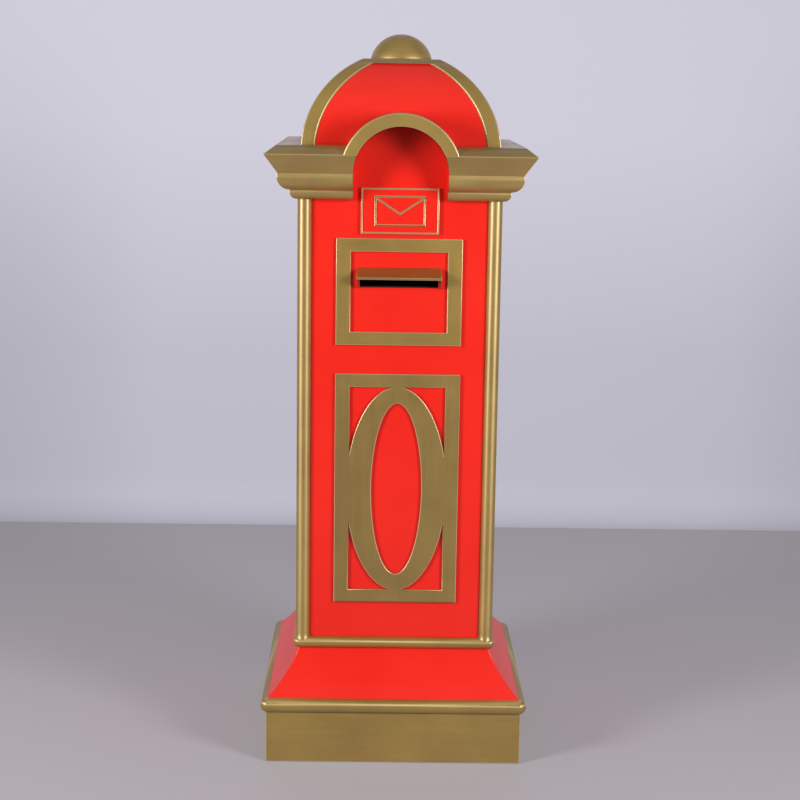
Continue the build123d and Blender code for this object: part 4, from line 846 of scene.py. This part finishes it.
CAP_PLATE = 0.005
CAP_FOOT_EASE, CAP_TOP_EASE, CAP_HIP_EASE = 0.0014, 0.0012, 0.0022
cap_low, cap_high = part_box("dome_cap")
cap_z = np.linspace(cap_low.z, cap_high.z, 7)
cap_curve = np.stack([np.sqrt((dome_r + RIB) ** 2 - (cap_z - dome_centre) ** 2), cap_z], 1)
under = cap_high.z - CAP_PLATE
skirt_in = math.sqrt((dome_r + RIB_FIT) ** 2 - (cap_low.z - dome_centre) ** 2)
under_in = math.sqrt((dome_r + RIB_FIT) ** 2 - (under - dome_centre) ** 2)
corners = np.concatenate([cap_curve, [(0, cap_high.z), (0, under), (under_in, under), (skirt_in, cap_low.z)]])
reach = np.zeros(len(corners))
reach[[0, len(cap_curve) - 1]] = CAP_FOOT_EASE, CAP_TOP_EASE
cap_outline = eased(corners, reach)
cap_outline = np.concatenate([cap_outline, cap_outline[:1]])
assemble("cap", "housing", MOULDING_GOLD, ["dome_cap"],
         [square_ring(cap_outline, np.minimum(CAP_HIP_EASE, cap_outline[:, :1]))])

# ---------------------------------------------------------------- finial
# Moulded hollow ball, cut flat underneath and bolted down through the cap. Its gold paint is brushed
# round and round.
FINIAL_R, FINIAL_SEAT = 0.0655, 0.0012
low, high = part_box("finial")
ball_z = high.z - FINIAL_R
first = math.asin((low.z - ball_z) / FINIAL_R)
bow = arc(0, ball_z, FINIAL_R, np.linspace(first, math.pi / 2, 33))
section = np.concatenate([[(FINIAL_R * math.cos(first) - FINIAL_SEAT, low.z)], bow[1:]])
radius, level = section[:, :1], section[:, 1:]
around = np.linspace(0, 2 * math.pi, 97)
ball = np.stack(np.broadcast_arrays(radius * np.cos(around), radius * np.sin(around), level), -1)
assemble("ball_finial", "housing", gold_paint("finial_gold", 0.56, 0.0002), ["finial"],
         [ball], [(ball[0, :-1], [range(len(around) - 1)])])


# ---------------------------------------------------------------- letter compartment and rear door
# A board floor on cleats holds the letters. At the back a board door on a long brass hinge closes
# against a frame, and a chromed cam lock holds it.
def metal(name, dark, light, gloss, scratch=0.0001):
    """Bare metal: fine rubbed scratches in the roughness, and a slow drift between two tones."""
    def build(signal):
        place = signal.spot()
        drift = place.grain(30.0, 3.0)
        rub = place.grain((900.0, 900.0, 60.0), 2.0)
        shade = drift.between(0.3, 0.7).mix(dark, light)
        return {"Base Color": shade, "Roughness": gloss + rub * 0.14 + (drift - 0.5) * 0.1,
                "Normal": bumped(signal, rub, scratch)}
    return finish(name, build, Metallic=1.0)


BRASS = metal("hinge_brass", (0.52, 0.33, 0.11, 1), (0.70, 0.49, 0.20, 1), 0.24)
CHROME = metal("lock_chrome", (0.60, 0.60, 0.62, 1), (0.72, 0.72, 0.73, 1), 0.08, 0.00004)
ZINC = metal("zinc_steel", (0.42, 0.43, 0.44, 1), (0.58, 0.58, 0.57, 1), 0.30)
coat(BARE, "mail_floor", "floor_cleats", "door_stop_frame")
coat(BRASS, "hinge_frame_leaf", "hinge_door_leaf", "hinge_pin")
coat(CHROME, "lock_body", "lock_nut", "lock_plug")
coat(ZINC, "lock_cam", "cam_screw", "finial_bolt", "finial_nut", "hinge_frame_screws", "hinge_door_screws")

DOOR_GAP, DOOR_EASE, DOOR_BACK_EASE, DOORWAY_CORNER = 0.0015, 0.0012, 0.0006, 0.0008
low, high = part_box("rear_door")
door = rounded_rectangle(high.x, low.z, high.z, DOOR_EASE)
doorway = rounded_rectangle(high.x + DOOR_GAP, low.z - DOOR_GAP, high.z + DOOR_GAP, DOORWAY_CORNER)
sheets, faces = flat_board([plain, doorway], panel_back, panel_face, PANEL_EASE, quarters=2)
assemble("rear_board", "housing", RED, ["rear_panel"], sheets, faces)
sheets, faces = flat_board([door], low.y, high.y, DOOR_EASE, DOOR_BACK_EASE, quarters=2)
assemble("door_board", "door", RED, ["rear_door"], sheets, faces)


# ---------------------------------------------------------------- studio
# Pale floor rolling up into a plain backdrop. Two tall soft boxes stand at the sides and a wide one hangs
# overhead; the pale sky past the backdrop is there for the camera alone.
# Between these heights the backdrop turns from its darker foot colour to its own: painted shade low on the
# wall.
BLEND_LOW, BLEND_HIGH = 0.55, 1.25


def plain_finish(name, colour, foot, rough, glow):
    """Even matt surface with a barely seen drift in its tone, in the foot colour low down.

    It glows a little, to the camera and in reflections alone, so it looks pale without lighting the object.
    It is clear from behind, so the rear of the object can be seen past it. Its darker foot colour is painted
    shade.
    """
    def build(signal):
        place = signal.spot()
        drift = place.grain(0.6, 3.0)
        rise = place.upwards().between(BLEND_LOW, BLEND_HIGH) + (drift - 0.5) * 0.15
        shade = rise.between(0.0, 1.0).mix(foot, colour)
        seen = signal.ray("Camera") + signal.ray("Glossy") + signal.ray("Transmission")
        front = 1 - signal.node("NewGeometry", {}, {}, "Backfacing")
        return {"Base Color": shade, "Emission Color": seen.mix((0, 0, 0, 1), shade), "Alpha": front}
    return finish(name, build, Roughness=rough, Specular_IOR_Level=0.3, Emission_Strength=glow)


STAGE_HALF = 6.0


def sweep(name, profile, made):
    """A stage surface: a profile in y and z carried straight along X, STAGE_HALF metres to either side."""
    lines = [[(x, y, z) for x in (-STAGE_HALF, STAGE_HALF)] for y, z in profile]
    mesh = bpy.data.meshes.new(name)
    mesh.from_pydata(np.reshape(lines, (-1, 3)).tolist(), [], quads(len(profile), 2))
    mesh.shade_smooth()
    mesh.materials.append(made)
    stage = bpy.data.objects.new(name, mesh)
    bpy.context.scene.collection.objects.link(stage)


SWEEP_R = 0.12
WALL_Y, WALL_H, FLOOR_Y = 1.80, 4.5, -7.0
WALL_COLOUR, WALL_SHADED_FOOT = (0.56, 0.55, 0.636, 1), (0.475, 0.465, 0.541, 1)
FLOOR_COLOUR, FLOOR_FOOT = (0.325, 0.305, 0.325, 1), (0.315, 0.295, 0.315, 1)
cove = arc(WALL_Y - SWEEP_R, SWEEP_R, SWEEP_R, np.linspace(-math.pi / 2, 0, 13))
floor_finish = plain_finish("floor", FLOOR_COLOUR, FLOOR_FOOT, 0.55, 0.41)
wall_finish = plain_finish("backdrop", WALL_COLOUR, WALL_SHADED_FOOT, 0.8, 0.30)
sweep("floor", [(FLOOR_Y, 0.0), (WALL_Y - SWEEP_R, 0.0)], floor_finish)
sweep("backdrop", [*cove, (WALL_Y, WALL_H)], wall_finish)

EVEN_COLOUR, EVEN_STRENGTH = (0.80, 0.80, 0.84, 1), 0.07
SKY_COLOUR = (0.56, 0.55, 0.64, 1)
world = bpy.data.worlds.new("studio")
bpy.context.scene.world = world
world.use_nodes = True
sky = world.node_tree
even_light = sky.nodes["Background"]
even_light.inputs["Color"].default_value = EVEN_COLOUR
even_light.inputs["Strength"].default_value = EVEN_STRENGTH
pale_sky, choice = sky.nodes.new("ShaderNodeBackground"), sky.nodes.new("ShaderNodeMixShader")
pale_sky.inputs["Color"].default_value = SKY_COLOUR
sky.links.new(Signal(sky).ray("Camera").socket, choice.inputs["Fac"])
sky.links.new(even_light.outputs[0], choice.inputs[1])
sky.links.new(pale_sky.outputs[0], choice.inputs[2])
sky.links.new(choice.outputs[0], sky.nodes["World Output"].inputs["Surface"])


def soft_box(name, place, aim, width, height, power):
    """A rectangular lamp at a place, facing a point, of a width and height in metres and a power in watts."""
    lamp = bpy.data.lights.new(name, "AREA")
    lamp.shape, lamp.size, lamp.size_y, lamp.energy = "RECTANGLE", width, height, power
    light = bpy.data.objects.new(name, lamp)
    light.location = place
    light.rotation_euler = (Vector(aim) - Vector(place)).to_track_quat("-Z", "Y").to_euler()
    bpy.context.scene.collection.objects.link(light)


FOOT, MIDDLE = (0, 0, 0), (0, 0, 1.0)
soft_box("key_box", (2.25, -2.27, 1.60), MIDDLE, 0.95, 1.2, 84)
soft_box("fill_box", (-2.52, -1.97, 1.52), MIDDLE, 0.85, 1.2, 90)
soft_box("ceiling_box", (0, -0.6, 3.6), FOOT, 3.2, 3.2, 11)

# The camera stands at eye height, a little left of the middle, and looks slightly down.
EYE = (-0.0408, -3.7171, 1.4183)
YAW, PITCH, ROLL = (math.radians(angle) for angle in (0.752, 10.584, 0.862))
LENS, FILM = 78.47, 36.0
camera_data = bpy.data.cameras.new("camera")
camera_data.lens, camera_data.sensor_width = LENS, FILM
camera = bpy.data.objects.new("camera", camera_data)
ahead = Vector((math.sin(YAW) * math.cos(PITCH), math.cos(YAW) * math.cos(PITCH), -math.sin(PITCH)))
level = Vector((math.cos(YAW), -math.sin(YAW), 0))
above = level.cross(ahead)
right = math.cos(ROLL) * level + math.sin(ROLL) * above
up = math.cos(ROLL) * above - math.sin(ROLL) * level
camera.matrix_world = Matrix.Translation(EYE) @ Matrix((right, up, -ahead)).transposed().to_4x4()
bpy.context.scene.collection.objects.link(camera)
bpy.context.scene.camera = camera
bpy.context.scene.view_settings.view_transform = "Standard"
